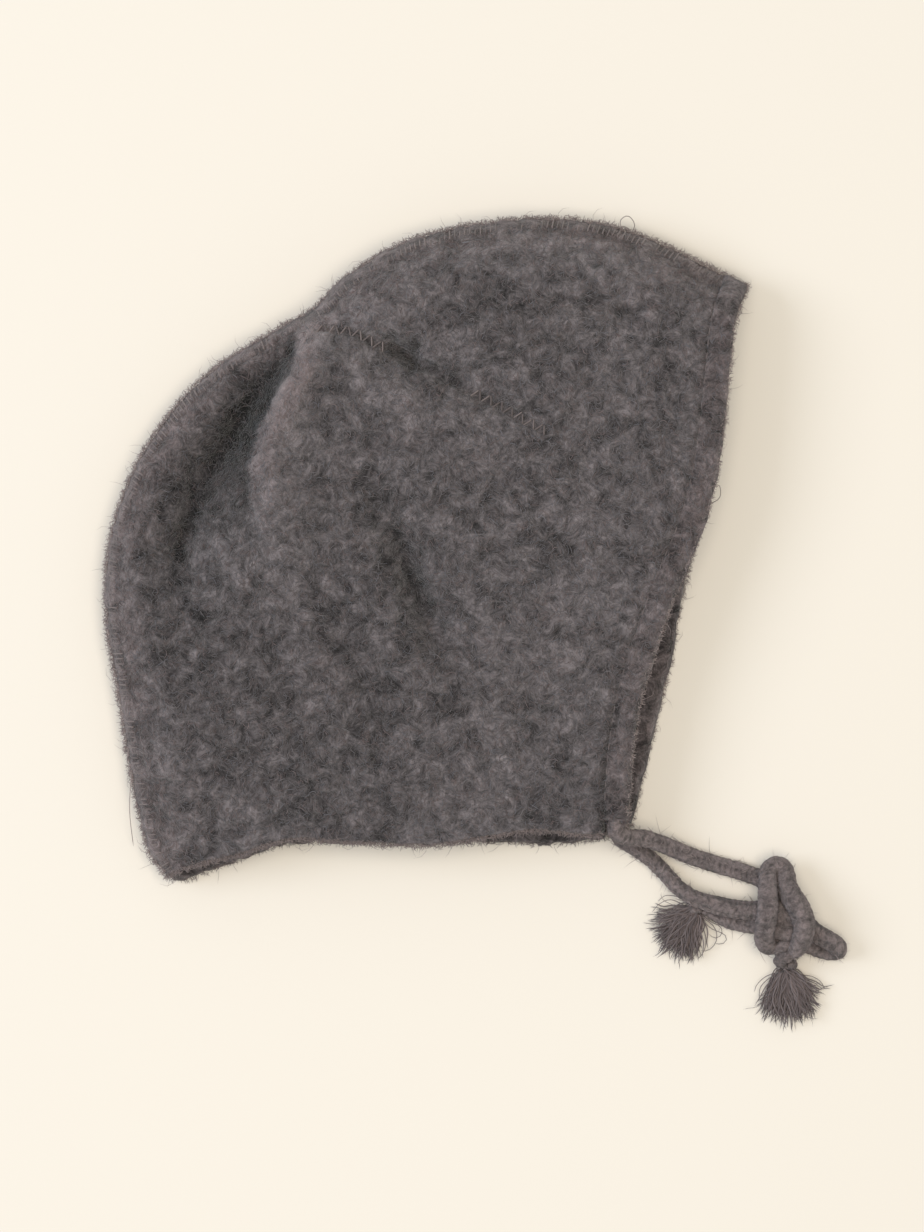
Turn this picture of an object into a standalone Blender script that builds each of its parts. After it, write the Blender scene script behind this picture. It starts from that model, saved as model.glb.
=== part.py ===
"""A baby's bonnet in thick felted wool, lying on its far side with its two ties knotted together.

Run it with blender --background --python part.py, or from Blender's text editor.
Metres, +Z up. X runs from the back of the head to the face, Y from the neck to the crown, and the
far side panel rests on the plane Z = 0. The origin lies on that plane, under the middle of the cloth.
"""

import math

import bmesh
import bpy
import numpy as np
from mathutils import Matrix, Vector

MM = 0.001

# The cloth
BONNET_DEPTH = 161 * MM
BONNET_HEIGHT = 165 * MM
CROWN_LOFT = 27 * MM
FELT = 2.6 * MM
SEAM_ROLL = 15 * MM
FLOOR_ROLL = 6 * MM
CLEARANCE = 0.3 * MM

# The folded hem round the face, a tunnel for the ties
HEM_WIDTH = 6 * MM
HEM_THICKNESS = 4.4 * MM
HEM_CORNER = 1.6 * MM
HEM_MOUTH = 2.4 * MM

# The ties, their squeezed stretch in the knot, and their frayed ends
TIE_DIAMETER = 4.3 * MM
TIE_FIRST_RUN = 1.2 * MM
KNOT_SQUEEZE = 0.84
KNOT_REACH = 17 * MM
KNOT_FADE = 5 * MM
TASSEL_LENGTH = 14.5 * MM
TASSEL_HEAD = 2.5 * MM
LOCK_ROOT = 1.25 * MM
LOCK_TIP = 0.35 * MM

# How finely the shapes are divided
NEAR_RINGS = 17
FAR_RINGS = 11
RIM_PACKING = 1.5
LINE_POINTS = 160
CURVE_STEPS = 12
ON_EDGE = 1e-6
HEM_STEPS = 26
TIE_STEPS = 80
TIE_ROUNDNESS = 2

# The side view's outline: x as a share of half the depth, y as a share of half the height.
SEAM_LINE = [
    (0.997, 0.794), (0.873, 0.855), (0.708, 0.933), (0.537, 0.985), (0.335, 1.000), (0.084, 0.970),
    (-0.109, 0.909), (-0.258, 0.815), (-0.354, 0.724), (-0.512, 0.639), (-0.699, 0.515), (-0.848, 0.345),
    (-0.941, 0.173), (-0.991, 0.003), (-1.000, -0.127), (-0.991, -0.279), (-0.960, -0.445),
    (-0.929, -0.642), (-0.891, -0.824), (-0.860, -0.933), (-0.814, -0.990),
]
NEAR_NECK = [
    (-0.814, -0.990), (-0.730, -0.955), (-0.600, -0.925), (-0.425, -0.873), (-0.220, -0.882),
    (0.000, -0.890), (0.160, -0.870), (0.330, -0.846), (0.490, -0.860), (0.621, -0.852),
]
FAR_NECK = [
    (-0.814, -0.990), (-0.755, -0.999), (-0.620, -0.950), (-0.430, -0.890), (-0.220, -0.888),
    (0.000, -0.892), (0.200, -0.885), (0.380, -0.891), (0.500, -0.880), (0.627, -0.867),
]
NEAR_FACE = [
    (0.621, -0.852), (0.636, -0.620), (0.671, -0.424), (0.758, -0.164), (0.857, 0.076),
    (0.907, 0.290), (0.934, 0.521), (0.953, 0.676), (0.997, 0.794),
]
FAR_FACE = [
    (0.627, -0.867), (0.683, -0.648), (0.752, -0.370), (0.798, -0.142), (0.839, 0.033),
    (0.901, 0.339), (0.932, 0.570), (0.950, 0.685), (0.997, 0.794),
]
PANEL_CENTRE = (-0.05, -0.05)

# How high the near panel stands, as a share of the crown's loft, in sections across the bonnet.
SECTION_COLUMNS = ("y", "back", "middle", "face")
SECTIONS = [
    (-1.0, 0.40, 0.52, 0.44),
    (-0.5, 0.60, 0.72, 0.60),
    (0.0, 0.70, 0.84, 0.68),
    (0.5, 0.78, 0.95, 0.68),
    (1.0, 0.74, 0.90, 0.56),
]

# Dents and ridges of the near panel. Depth is a share of the loft, and a ridge's is below zero.
# Width is a share of the bonnet's depth.
FOLD_COLUMNS = ("x", "y", "depth", "width")
FOLDS = {
    "nape_valley": [
        (-0.440, 0.600, 0.16, 0.036), (-0.560, 0.430, 0.34, 0.050), (-0.690, 0.200, 0.38, 0.065),
        (-0.770, -0.060, 0.26, 0.070), (-0.730, -0.330, 0.06, 0.080),
    ],
    "crown_lip": [
        (-0.350, 0.660, -0.07, 0.036), (-0.420, 0.500, -0.13, 0.036), (-0.480, 0.330, -0.13, 0.036),
        (-0.480, 0.120, -0.10, 0.040), (-0.440, -0.100, -0.04, 0.050),
    ],
    "dart": [
        (-0.330, 0.660, 0.08, 0.028), (-0.220, 0.640, 0.10, 0.028), (-0.050, 0.560, 0.16, 0.030),
        (0.120, 0.480, 0.12, 0.030), (0.360, 0.350, 0.03, 0.030),
    ],
    "cheek_crease": [
        (-0.200, 0.270, 0.03, 0.034), (-0.110, 0.070, 0.10, 0.034), (-0.060, -0.060, 0.16, 0.034),
        (0.020, -0.240, 0.13, 0.036), (0.090, -0.400, 0.03, 0.040),
    ],
    "nape_crease": [
        (-0.320, -0.080, 0.02, 0.036), (-0.240, -0.290, 0.07, 0.036), (-0.160, -0.500, 0.06, 0.036),
        (-0.150, -0.680, 0.01, 0.036),
    ],
}

# The ties' routes in millimetres: x and y from the face corner of the near neck edge, z from the floor.
NEAR_TIE = [
    (-1.9, -1.3, 12.3), (0.3, -2.1, 10.5), (3.8, -2.2, 8.2), (8.25, -3.6, 5.9), (12.75, -5.5, 4.2),
    (17.5, -7.4, 2.9), (22.0, -8.9, 2.3), (27.0, -10.3, 2.3), (31.0, -11.6, 2.7),
    (34.5, -12.9, 3.8), (37.4, -14.2, 4.2), (39.8, -16.4, 3.2), (40.8, -19.3, 1.9),
    (40.7, -22.6, 1.9), (39.6, -25.8, 1.9), (38.0, -28.3, 2.2), (35.9, -29.2, 4.4),
    (34.4, -27.8, 7.4), (34.5, -24.6, 9.5), (35.0, -20.9, 9.9), (35.2, -17.2, 9.5),
    (35.2, -13.8, 8.7), (35.2, -11.4, 7.5), (35.85, -9.75, 6.9), (37.4, -9.1, 6.5),
    (38.95, -9.75, 6.4), (39.6, -11.5, 6.8), (40.0, -14.4, 8.1), (41.2, -17.0, 9.2),
    (42.7, -19.4, 9.8), (43.9, -22.2, 10.0), (44.2, -25.1, 9.9), (43.5, -27.9, 9.5),
    (42.3, -30.2, 7.9), (41.0, -31.4, 5.2),
]
FAR_TIE = [
    (-1.4, -2.7, 2.3), (1.0, -4.3, 2.3), (4.0, -6.2, 2.3), (7.0, -8.5, 2.4), (10.0, -11.6, 3.2),
    (12.8, -14.6, 4.6), (15.9, -16.8, 5.7), (19.75, -18.3, 5.8), (24.0, -19.5, 5.4),
    (28.25, -20.3, 5.2), (32.0, -20.5, 5.5), (35.5, -20.3, 5.9), (39.0, -20.6, 5.9),
    (42.2, -22.1, 5.9), (45.2, -24.4, 5.9), (48.0, -26.4, 6.0), (50.7, -28.0, 6.1),
    (52.4, -29.2, 5.6), (53.0, -30.1, 4.1), (52.3, -30.8, 2.5), (50.6, -30.8, 1.9),
    (48.4, -30.2, 1.9), (46.0, -29.2, 2.2), (43.6, -27.9, 3.7), (40.9, -26.1, 5.7),
    (37.5, -24.7, 5.9), (34.3, -24.2, 4.9), (31.2, -24.1, 3.2), (27.9, -23.5, 2.1),
    (24.6, -22.6, 1.85), (21.8, -21.5, 1.85),
]
KNOT_CENTRE = (40.0, -21.0, 5.0)
TIE_THICKNESS = {"near_tie": 1.0, "far_tie": 0.84}
TIE_HEADS = {"near_tassel": (39.9, -33.4, 2.7), "far_tassel": (17.6, -19.9, 1.95)}

# The tassels: the way that each points and how widely it fans out, in degrees from +X, and its length
# and its head as shares of a tassel's.
TASSELS = {
    "near_tassel": {"heading": -88, "spread": 70, "length": 1.0, "head": 1.0},
    "far_tassel": {"heading": -137, "spread": 88, "length": 0.9, "head": 0.7},
}
LOCKS = 9
LOCK_SIDES = 6
TOP_LOCK_LIFT = 0.18
LOCK_UNEVENNESS = 0.09
LOCK_WAVE = 5
HEAD_SIDES = 12

CHARCOAL_WOOL = (0.118, 0.108, 0.112, 1.0)
CORD_WOOL = (0.125, 0.110, 0.112, 1.0)
WOOL_ROUGHNESS = 0.95


def clear_scene():
    for obj in list(bpy.data.objects):
        bpy.data.objects.remove(obj)


def new_collection(name):
    collection = bpy.data.collections.new(name)
    bpy.context.scene.collection.children.link(collection)
    return collection


def wool(name, colour):
    material = bpy.data.materials.new(name)
    material.use_nodes = True
    shader = material.node_tree.nodes["Principled BSDF"]
    shader.inputs["Base Color"].default_value = colour
    shader.inputs["Roughness"].default_value = WOOL_ROUGHNESS
    shader.inputs["Metallic"].default_value = 0.0
    return material


def evenly(line, count):
    """The line again, as count points spaced evenly along it."""
    steps = np.linalg.norm(np.diff(line, axis=0), axis=1)
    along = np.concatenate([[0], np.cumsum(steps)])
    places = np.linspace(0, along[-1], count)
    return np.stack([np.interp(places, along, column) for column in line.T], axis=1)


def smooth_line(points, count):
    """A smooth curve through the points, as count points spaced evenly along it."""
    points = np.asarray(points, float)
    padded = np.vstack([2 * points[0] - points[1], points, 2 * points[-1] - points[-2]])
    t = np.linspace(0, 1, CURVE_STEPS, endpoint=False)[:, None]
    pieces = []
    for a, b, c, d in zip(padded, padded[1:], padded[2:], padded[3:]):
        bend = 2 * a - 5 * b + 4 * c - d + t * (3 * (b - c) + d - a)
        pieces.append(b + 0.5 * t * (c - a + t * bend))
    return evenly(np.vstack([*pieces, points[-1:]]), count)


def side_line(shares, count=LINE_POINTS):
    """An outline's side, from a table of shares of half the bonnet's depth and height."""
    half = np.array([BONNET_DEPTH / 2, BONNET_HEIGHT / 2])
    return smooth_line(np.array(shares) * half, count)


def seam_line(outline):
    """The centre seam over the crown and down the back."""
    return np.vstack([outline["crown"], outline["back"][1:]])


def inset(line, by):
    """The line moved to its left by this much."""
    way = np.gradient(line, axis=0)
    way /= np.linalg.norm(way, axis=1)[:, None]
    return line + by * np.stack([-way[:, 1], way[:, 0]], axis=1)


def distance_to(line, points):
    """How far each point is from the line."""
    best = np.full(len(points), np.inf)
    for start, end in zip(line[:-1], line[1:]):
        run = end - start
        share = np.clip((points - start) @ run / (run @ run), 0, 1)
        best = np.minimum(best, np.linalg.norm(points - start - share[:, None] * run, axis=1))
    return best


def outline_of(face, neck):
    """A panel's four sides, run anticlockwise: its face side, inside the hem, then the crown, back and neck."""
    face_edge = side_line(face)
    seam = side_line(SEAM_LINE)
    neck_edge = side_line(neck)
    hem = HEM_WIDTH + CLEARANCE
    seam = seam[distance_to(face_edge, seam) >= hem]
    neck_edge = neck_edge[distance_to(face_edge, neck_edge) >= hem]
    inner = inset(face_edge, hem)
    kept = (inner[:, 1] > neck_edge[-1, 1] + CLEARANCE) & (inner[:, 1] < seam[0, 1] - CLEARANCE)
    inner = np.vstack([neck_edge[-1:], inner[kept], seam[:1]])
    seam = evenly(seam, 2 * LINE_POINTS - 1)
    return {
        "face": evenly(inner, LINE_POINTS),
        "crown": seam[:LINE_POINTS],
        "back": seam[LINE_POINTS - 1:],
        "neck": evenly(neck_edge, LINE_POINTS),
    }


def panel_centre():
    """Where a panel's rings close up."""
    return np.array(PANEL_CENTRE) * (BONNET_DEPTH / 2, BONNET_HEIGHT / 2)


def spread_over(outline, a, b):
    """Where a point of the unit square lies in the outline: squares round the middle become rings."""
    ring = np.maximum(np.abs(a), np.abs(b))
    u = np.divide(a, ring, out=np.ones_like(a), where=ring > 0)
    v = np.divide(b, ring, out=np.zeros_like(b), where=ring > 0)
    on_face = u >= 1 - ON_EDGE
    on_crown = (v >= 1 - ON_EDGE) & ~on_face
    on_back = (u <= -1 + ON_EDGE) & ~on_crown
    share = np.select([on_face, on_crown, on_back], [(v + 1) / 2, (1 - u) / 2, (1 - v) / 2], (u + 1) / 2)
    steps = np.linspace(0, 1, LINE_POINTS)
    sides = [outline[name] for name in ("face", "crown", "back", "neck")]
    rim = []
    for axis in (0, 1):
        values = [np.interp(share, steps, side[:, axis]) for side in sides]
        rim.append(np.select([on_face, on_crown, on_back], values[:3], values[3]))
    rim = np.stack(rim, axis=1)
    centre = panel_centre()
    reach = 1 - (1 - ring) ** RIM_PACKING
    at_rim = ring >= 1 - ON_EDGE
    on_seam = at_rim & ((v >= 1 - ON_EDGE) | (u <= -1 + ON_EDGE))
    return centre + reach[:, None] * (rim - centre), on_seam


def loft_at(x, y):
    """The near panel's height before its folds, read smoothly from the sections."""
    table = {name: np.array(column) for name, column in zip(SECTION_COLUMNS, zip(*SECTIONS))}
    degree = len(SECTIONS) - 1
    height = y / (BONNET_HEIGHT / 2)
    back, middle, face = (
        np.polyval(np.polyfit(table["y"], table[name], degree), height) for name in SECTION_COLUMNS[1:]
    )
    across = x / (BONNET_DEPTH / 2)
    share = middle + across * (face - back) / 2 + across**2 * ((face + back) / 2 - middle)
    return CROWN_LOFT * share


def fold_depth(x, y):
    """How far the folds pull the near panel down at each point."""
    points = np.stack([x, y], axis=1)
    half = np.array([BONNET_DEPTH / 2, BONNET_HEIGHT / 2])
    total = np.zeros(len(points))
    for rows in FOLDS.values():
        line = smooth_line(rows, LINE_POINTS // 4)
        depth = line[:, FOLD_COLUMNS.index("depth")] * CROWN_LOFT
        width = line[:, FOLD_COLUMNS.index("width")] * BONNET_DEPTH
        away = np.linalg.norm(points[:, None] - line[None, :, :2] * half, axis=2)
        nearest = away.argmin(axis=1)
        share = away[np.arange(len(points)), nearest] / width[nearest]
        total += depth[nearest] * np.exp(-(share**2))
    return total


def seam_height():
    """The centre seam lies between the two hems, one on the other at the top corner."""
    return HEM_THICKNESS + CLEARANCE / 2


def near_height(points, seam):
    """The near panel's outer face: it rises from the seam in a round edge and levels off at its loft."""
    x, y = points.T
    inward = np.clip(distance_to(seam, points) / SEAM_ROLL, 0, 1)
    rise = np.sqrt(1 - (1 - inward) ** 2)
    base = seam_height() + CLEARANCE / 2
    return base + rise * (loft_at(x, y) - base - fold_depth(x, y))


def far_height(points, seam):
    """The far panel's outer face: flat on the floor, rolling up to the seam."""
    inward = np.clip(distance_to(seam, points) / FLOOR_ROLL, 0, 1)
    return (seam_height() - CLEARANCE / 2) * (1 - np.sqrt(1 - (1 - inward) ** 2))


def facing(points, height, side, seam, on_seam):
    """The unit normals of a panel's outer face, level along the seam so that the two rims meet flat."""
    step = FELT / 20
    inward = panel_centre() - points
    inner = points + inward * (3 * step / (np.linalg.norm(inward, axis=1) + step))[:, None]
    slope = []
    for axis in (0, 1):
        shift = np.zeros(2)
        shift[axis] = step
        slope.append((height(inner + shift, seam) - height(inner - shift, seam)) / (2 * step))
    normal = side * np.stack([-slope[0], -slope[1], np.ones(len(points))], axis=1)
    normal[on_seam, 2] = 0
    return normal / np.linalg.norm(normal, axis=1)[:, None]


def make_panel(name, rings, outline, height, side, material, collection):
    """One side panel: a grid spread over its outline, given its height and then the felt's thickness."""
    seam = seam_line(outline)
    sheet = bmesh.new()
    bmesh.ops.create_grid(sheet, x_segments=2 * rings, y_segments=2 * rings, size=1)
    copied = bmesh.ops.extrude_face_region(sheet, geom=sheet.faces[:], use_keep_orig=True)
    lining = [item for item in copied["geom"] if isinstance(item, bmesh.types.BMVert)]
    bmesh.ops.translate(sheet, verts=lining, vec=(0, 0, 1))
    cage = np.array([vertex.co for vertex in sheet.verts])
    flat, on_seam = spread_over(outline, cage[:, 0], cage[:, 1])
    z = height(flat, seam)
    z[on_seam] = seam_height() + side * CLEARANCE / 2
    place = np.column_stack([flat, z])
    place -= (cage[:, 2] * FELT)[:, None] * facing(flat, height, side, seam, on_seam)
    for vertex, point in zip(sheet.verts, place):
        vertex.co = point
    bmesh.ops.recalc_face_normals(sheet, faces=sheet.faces[:])
    return finish_mesh(sheet, name, material, collection)


def finish_mesh(sheet, name, material, collection):
    mesh = bpy.data.meshes.new(name)
    sheet.to_mesh(mesh)
    sheet.free()
    mesh.shade_smooth()
    mesh.materials.append(material)
    obj = bpy.data.objects.new(name, mesh)
    collection.objects.link(obj)
    return obj


def hem_profile(collection):
    """The hem's section: a round-cornered rectangle, as a closed guide curve."""
    curve = bpy.data.curves.new("hem_section", "CURVE")
    curve.dimensions = "2D"
    section = curve.splines.new("POLY")
    across = HEM_WIDTH / 2 - HEM_CORNER
    up = HEM_THICKNESS / 2 - HEM_CORNER
    corners = []
    for quarter, (sx, sy) in enumerate(((1, 1), (-1, 1), (-1, -1), (1, -1))):
        for turn in (0, 90):
            angle = math.radians(90 * quarter + turn)
            corner_x = sx * across + HEM_CORNER * math.cos(angle)
            corner_y = sy * up + HEM_CORNER * math.sin(angle)
            corners.insert(0, (corner_x, corner_y, 0, 1))
    section.points.add(len(corners) - 1)
    for point, corner in zip(section.points, corners):
        point.co = corner
    section.use_cyclic_u = True
    guide = bpy.data.objects.new("hem_section", curve)
    guide.hide_render = True
    guide.display_type = "WIRE"
    collection.objects.link(guide)
    return guide


def near_hem_top(points, seam):
    """The near hem is flush with its panel, and clears the far hem where they meet at the top corner."""
    return np.maximum(near_height(points, seam), 2 * HEM_THICKNESS + CLEARANCE)


def far_hem_top(points, seam):
    """The far hem lies on the floor."""
    return np.full(len(points), HEM_THICKNESS)


def hem_route(face, outline, top):
    """The middle of a hem, from its mouth above the neck to the top corner."""
    face_edge = side_line(face)
    run = np.linalg.norm(face_edge[0] - face_edge, axis=1)
    middle = inset(face_edge, HEM_WIDTH / 2)[run >= HEM_MOUTH]
    beside = inset(face_edge, HEM_WIDTH + CLEARANCE)[run >= HEM_MOUTH]
    z = top(beside, seam_line(outline)) - HEM_THICKNESS / 2
    return evenly(np.column_stack([middle, z]), HEM_STEPS)


def make_curve(name, points, collection):
    curve = bpy.data.curves.new(name, "CURVE")
    curve.dimensions = "3D"
    curve.use_fill_caps = True
    spline = curve.splines.new("POLY")
    spline.points.add(len(points) - 1)
    for point, place in zip(spline.points, points):
        point.co = (*place, 1)
    obj = bpy.data.objects.new(name, curve)
    collection.objects.link(obj)
    return obj


def make_hem(name, route, section, material, collection):
    obj = make_curve(name, route, collection)
    obj.data.twist_mode = "Z_UP"
    obj.data.bevel_mode = "OBJECT"
    obj.data.bevel_object = section
    obj.data.materials.append(material)
    return obj


def tie_route(route, corner, mouth, hem_way, head, head_radius):
    """A tie's middle line: out of the hem's mouth, along its route, and up to the head of its tassel."""
    start = mouth + hem_way * CLEARANCE
    straight = [start + hem_way * TIE_FIRST_RUN * step for step in range(3)]
    middle = np.array(route) * MM + corner
    head = np.array(head) * MM + corner
    toward = middle[-1] - head
    end = head + toward / np.linalg.norm(toward) * (head_radius + CLEARANCE)
    return smooth_line(np.vstack([straight, middle, end]), TIE_STEPS)


def make_tie(name, route, corner, material, collection):
    obj = make_curve(name, route, collection)
    obj.data.bevel_depth = TIE_DIAMETER / 2
    obj.data.bevel_resolution = TIE_ROUNDNESS
    obj.data.materials.append(material)
    knot = np.array(KNOT_CENTRE) * MM + corner
    away = np.linalg.norm(route - knot, axis=1)
    fade = np.clip((away - KNOT_REACH) / KNOT_FADE, 0, 1)
    for point, share in zip(obj.data.splines[0].points, fade):
        point.radius = min(TIE_THICKNESS[name], KNOT_SQUEEZE + (1 - KNOT_SQUEEZE) * share)
    return obj


def make_lock(name, root, heading, tip_height, length, cutters):
    """One lock of a tassel: a thin cone from inside the head to its tip near the floor."""
    flat = Vector((math.cos(heading), math.sin(heading), 0))
    tip = root + flat * length
    tip.z = tip_height
    run = tip - root
    turn = run.to_track_quat("Z", "Y").to_matrix().to_4x4()
    place = Matrix.Translation(root + run / 2) @ turn
    cone = bmesh.new()
    bmesh.ops.create_cone(
        cone, cap_ends=True, segments=LOCK_SIDES, radius1=LOCK_ROOT, radius2=LOCK_TIP, depth=run.length
    )
    bmesh.ops.transform(cone, matrix=place, verts=cone.verts[:])
    mesh = bpy.data.meshes.new(name)
    cone.to_mesh(mesh)
    cone.free()
    obj = bpy.data.objects.new(name, mesh)
    obj.hide_render = True
    obj.display_type = "WIRE"
    cutters.objects.link(obj)
    return obj


def make_tassel(name, corner, material, collection):
    """A tassel: the tie's end knot as its head, with a fan of locks fused to it."""
    fan = TASSELS[name]
    centre = Vector(np.array(TIE_HEADS[name]) * MM + corner)
    head_radius = fan["head"] * TASSEL_HEAD
    locks = new_collection(name + "_locks")
    for index in range(LOCKS):
        share = index / (LOCKS - 1)
        angle = math.radians(fan["heading"] + fan["spread"] * (share - 0.5))
        uneven = 1 + LOCK_UNEVENNESS * math.sin(LOCK_WAVE * index)
        reach = fan["length"] * TASSEL_LENGTH * uneven
        raised = TOP_LOCK_LIFT if index % 2 else 0
        tip_height = LOCK_ROOT + raised * TASSEL_LENGTH
        root = centre + head_radius / 2 * Vector((math.cos(angle), math.sin(angle), 0))
        root.z = LOCK_ROOT + CLEARANCE / 3 + raised * head_radius
        make_lock(f"{name}_lock_{index}", root, angle, tip_height, reach, locks)
    head = bmesh.new()
    bmesh.ops.create_uvsphere(
        head, u_segments=HEAD_SIDES, v_segments=HEAD_SIDES // 2, radius=head_radius
    )
    bmesh.ops.translate(head, verts=head.verts[:], vec=centre)
    obj = finish_mesh(head, name, material, collection)
    fuse = obj.modifiers.new("fuse_locks", "BOOLEAN")
    fuse.operation = "UNION"
    fuse.operand_type = "COLLECTION"
    fuse.collection = locks
    return obj


def main():
    clear_scene()
    bonnet = new_collection("baby_bonnet")
    guides = new_collection("guides")
    felt = wool("charcoal_felt", CHARCOAL_WOOL)
    cord = wool("charcoal_cord", CORD_WOOL)

    near = outline_of(NEAR_FACE, NEAR_NECK)
    far = outline_of(FAR_FACE, FAR_NECK)
    make_panel("near_panel", NEAR_RINGS, near, near_height, 1, felt, bonnet)
    make_panel("far_panel", FAR_RINGS, far, far_height, -1, felt, bonnet)

    section = hem_profile(guides)
    near_hem = hem_route(NEAR_FACE, near, near_hem_top)
    far_hem = hem_route(FAR_FACE, far, far_hem_top)
    make_hem("near_face_hem", near_hem, section, felt, bonnet)
    make_hem("far_face_hem", far_hem, section, felt, bonnet)

    corner = np.array([*side_line(NEAR_FACE)[0], 0])
    for side, hem, route in (("near", near_hem, NEAR_TIE), ("far", far_hem, FAR_TIE)):
        hem_way = (hem[0] - hem[1]) / np.linalg.norm(hem[0] - hem[1])
        head = TIE_HEADS[side + "_tassel"]
        head_radius = TASSELS[side + "_tassel"]["head"] * TASSEL_HEAD
        line = tie_route(route, corner, hem[0], hem_way, head, head_radius)
        make_tie(side + "_tie", line, corner, cord, bonnet)
        make_tassel(side + "_tassel", corner, cord, bonnet)


main()
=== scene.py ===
import math

import bpy
import numpy as np
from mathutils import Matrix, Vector


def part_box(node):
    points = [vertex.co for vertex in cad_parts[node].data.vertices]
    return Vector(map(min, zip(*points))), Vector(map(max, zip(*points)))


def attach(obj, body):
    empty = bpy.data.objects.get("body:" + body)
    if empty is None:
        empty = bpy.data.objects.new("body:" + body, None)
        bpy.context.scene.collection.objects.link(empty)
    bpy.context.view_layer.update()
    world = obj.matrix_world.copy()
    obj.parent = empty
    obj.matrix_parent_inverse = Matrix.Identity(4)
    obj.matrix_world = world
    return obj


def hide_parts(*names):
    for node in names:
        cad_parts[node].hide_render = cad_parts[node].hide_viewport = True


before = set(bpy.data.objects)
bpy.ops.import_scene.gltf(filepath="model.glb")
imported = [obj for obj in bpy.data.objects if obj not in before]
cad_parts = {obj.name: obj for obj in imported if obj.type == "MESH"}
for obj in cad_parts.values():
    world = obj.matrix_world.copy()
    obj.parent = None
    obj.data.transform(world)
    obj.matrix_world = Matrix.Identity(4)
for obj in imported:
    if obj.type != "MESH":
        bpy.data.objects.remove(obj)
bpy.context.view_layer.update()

print("frame loaded:", ", ".join(sorted(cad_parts)))

# everything below is in millimetres, and makePiece turns it into metres
mm = 0.001


# the photograph's view
view = {
    "middle": (8.75, -17.0),        # what the camera looks straight down at
    "frameHeight": 308.0,           # how much of the floor the picture's long side takes in
    "sharpAt": 8.0,                 # the height above the floor where that is true
    "distance": 1500.0,
    "sensor": 36.0,
}


def makeCamera():
    data = bpy.data.cameras.new("camera")
    camera = bpy.data.objects.new("camera", data)
    bpy.context.scene.collection.objects.link(camera)
    x, y = view["middle"]
    camera.location = (x * mm, y * mm, (view["sharpAt"] + view["distance"]) * mm)
    data.sensor_width = view["sensor"]
    data.lens = view["sensor"] * view["distance"] / view["frameHeight"]
    data.clip_start, data.clip_end = 0.01, 20
    bpy.context.scene.camera = camera


makeCamera()


# lines and surfaces
def unit(vectors, least=0.0):
    # the vectors at a length of 1; least keeps one of no length from a division by zero
    return vectors / (np.linalg.norm(vectors, axis=-1, keepdims=True) + least)


def bell(away, wide):
    return np.exp(-((away / wide) ** 2))


def gate(value):
    # 0 well below zero, 1 well above it
    return 1 / (1 + np.exp(-np.clip(value, -30, 30)))


def turns(count):
    # angles evenly round a circle
    return np.arange(count) * 2 * math.pi / count


def lengthsTo(line):
    # how far along a line each of its points is
    return np.concatenate([[0], np.cumsum(np.linalg.norm(np.diff(line, axis=0), axis=1))])


def evenly(line, count):
    # the line again with its points evenly spaced: each column read at equal steps of its length
    along = lengthsTo(line)
    places = np.linspace(0, along[-1], count)
    return np.stack([np.interp(places, along, column) for column in line.T], axis=1)


def smoothLine(points, count):
    # a curve through a, b, c, d ...: b + t/2 (c - a + t (2a - 5b + 4c - d + t (3(b - c) + d - a)))
    points = np.asarray(points, float)
    padded = np.vstack([2 * points[0] - points[1], points, 2 * points[-1] - points[-2]])
    t = np.linspace(0, 1, 16, endpoint=False)[:, None]
    pieces = []
    for a, b, c, d in zip(padded, padded[1:], padded[2:], padded[3:]):
        bend = 2 * a - 5 * b + 4 * c - d + t * (3 * (b - c) + d - a)
        pieces.append(b + 0.5 * t * (c - a + t * bend))
    return evenly(np.vstack([*pieces, points[-1:]]), count)


def nearestOn(line, x, y):
    # for each point: its distance to the line, how far along that is, and which side (+1 is left)
    away = np.full(np.shape(x), np.inf)
    along, side, gone = np.zeros(np.shape(x)), np.ones(np.shape(x)), 0.0
    for (ax, ay), (bx, by) in zip(line[:-1, :2], line[1:, :2]):
        runX, runY = bx - ax, by - ay
        long = math.hypot(runX, runY)
        t = np.clip(((x - ax) * runX + (y - ay) * runY) / long**2, 0, 1)
        dx, dy = x - ax - t * runX, y - ay - t * runY
        reach = np.hypot(dx, dy)
        closer = reach < away
        away = np.where(closer, reach, away)
        along = np.where(closer, gone + t * long, along)
        side = np.where(closer, np.where(runX * dy - runY * dx >= 0, 1.0, -1.0), side)
        gone += long
    return away, along, side


def leftOf(line):
    # unit vectors to the left of a flat line, one at each of its points
    way = unit(np.gradient(line[:, :2], axis=0))
    return np.stack([-way[:, 1], way[:, 0]], axis=1)


def between(values, i, j, u, v):
    # a table's value inside a cell, at the shares u and v of its sides
    low = values[i, j] * (1 - u) + values[i + 1, j] * u
    high = values[i, j + 1] * (1 - u) + values[i + 1, j + 1] * u
    return low * (1 - v) + high * v


def lumps(x, y, size, seed):
    # smooth noise from -1 to 1: random heights on a lattice this wide, eased between its corners
    heights = np.random.default_rng(seed).uniform(-1, 1, (211, 211))
    u, v = x / size + 500, y / size + 500
    i, j = np.floor(u).astype(int), np.floor(v).astype(int)
    easedU, easedV = (share * share * (3 - 2 * share) for share in (u - i, v - j))
    return between(np.pad(heights, (0, 1), mode="wrap"), i % 211, j % 211, easedU, easedV)


def gridFaces(rows, columns, ring=False, start=0):
    # the quads of a grid whose points run row by row; a ring's last column joins its first
    i, j = np.meshgrid(np.arange(rows - 1), np.arange(columns if ring else columns - 1), indexing="ij")
    here = start + i * columns + j
    beside = start + i * columns + (j + 1) % columns
    return np.stack([here, beside, beside + columns, here + columns], axis=-1).reshape(-1, 4)


def capFaces(middle, first, sides, turned=False):
    # the triangles from a middle point to a ring of points
    j = np.arange(sides)
    ring = np.stack([first + j, first + (j + 1) % sides], axis=1)
    return np.column_stack([np.full(sides, middle), ring[:, ::-1] if turned else ring])


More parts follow.
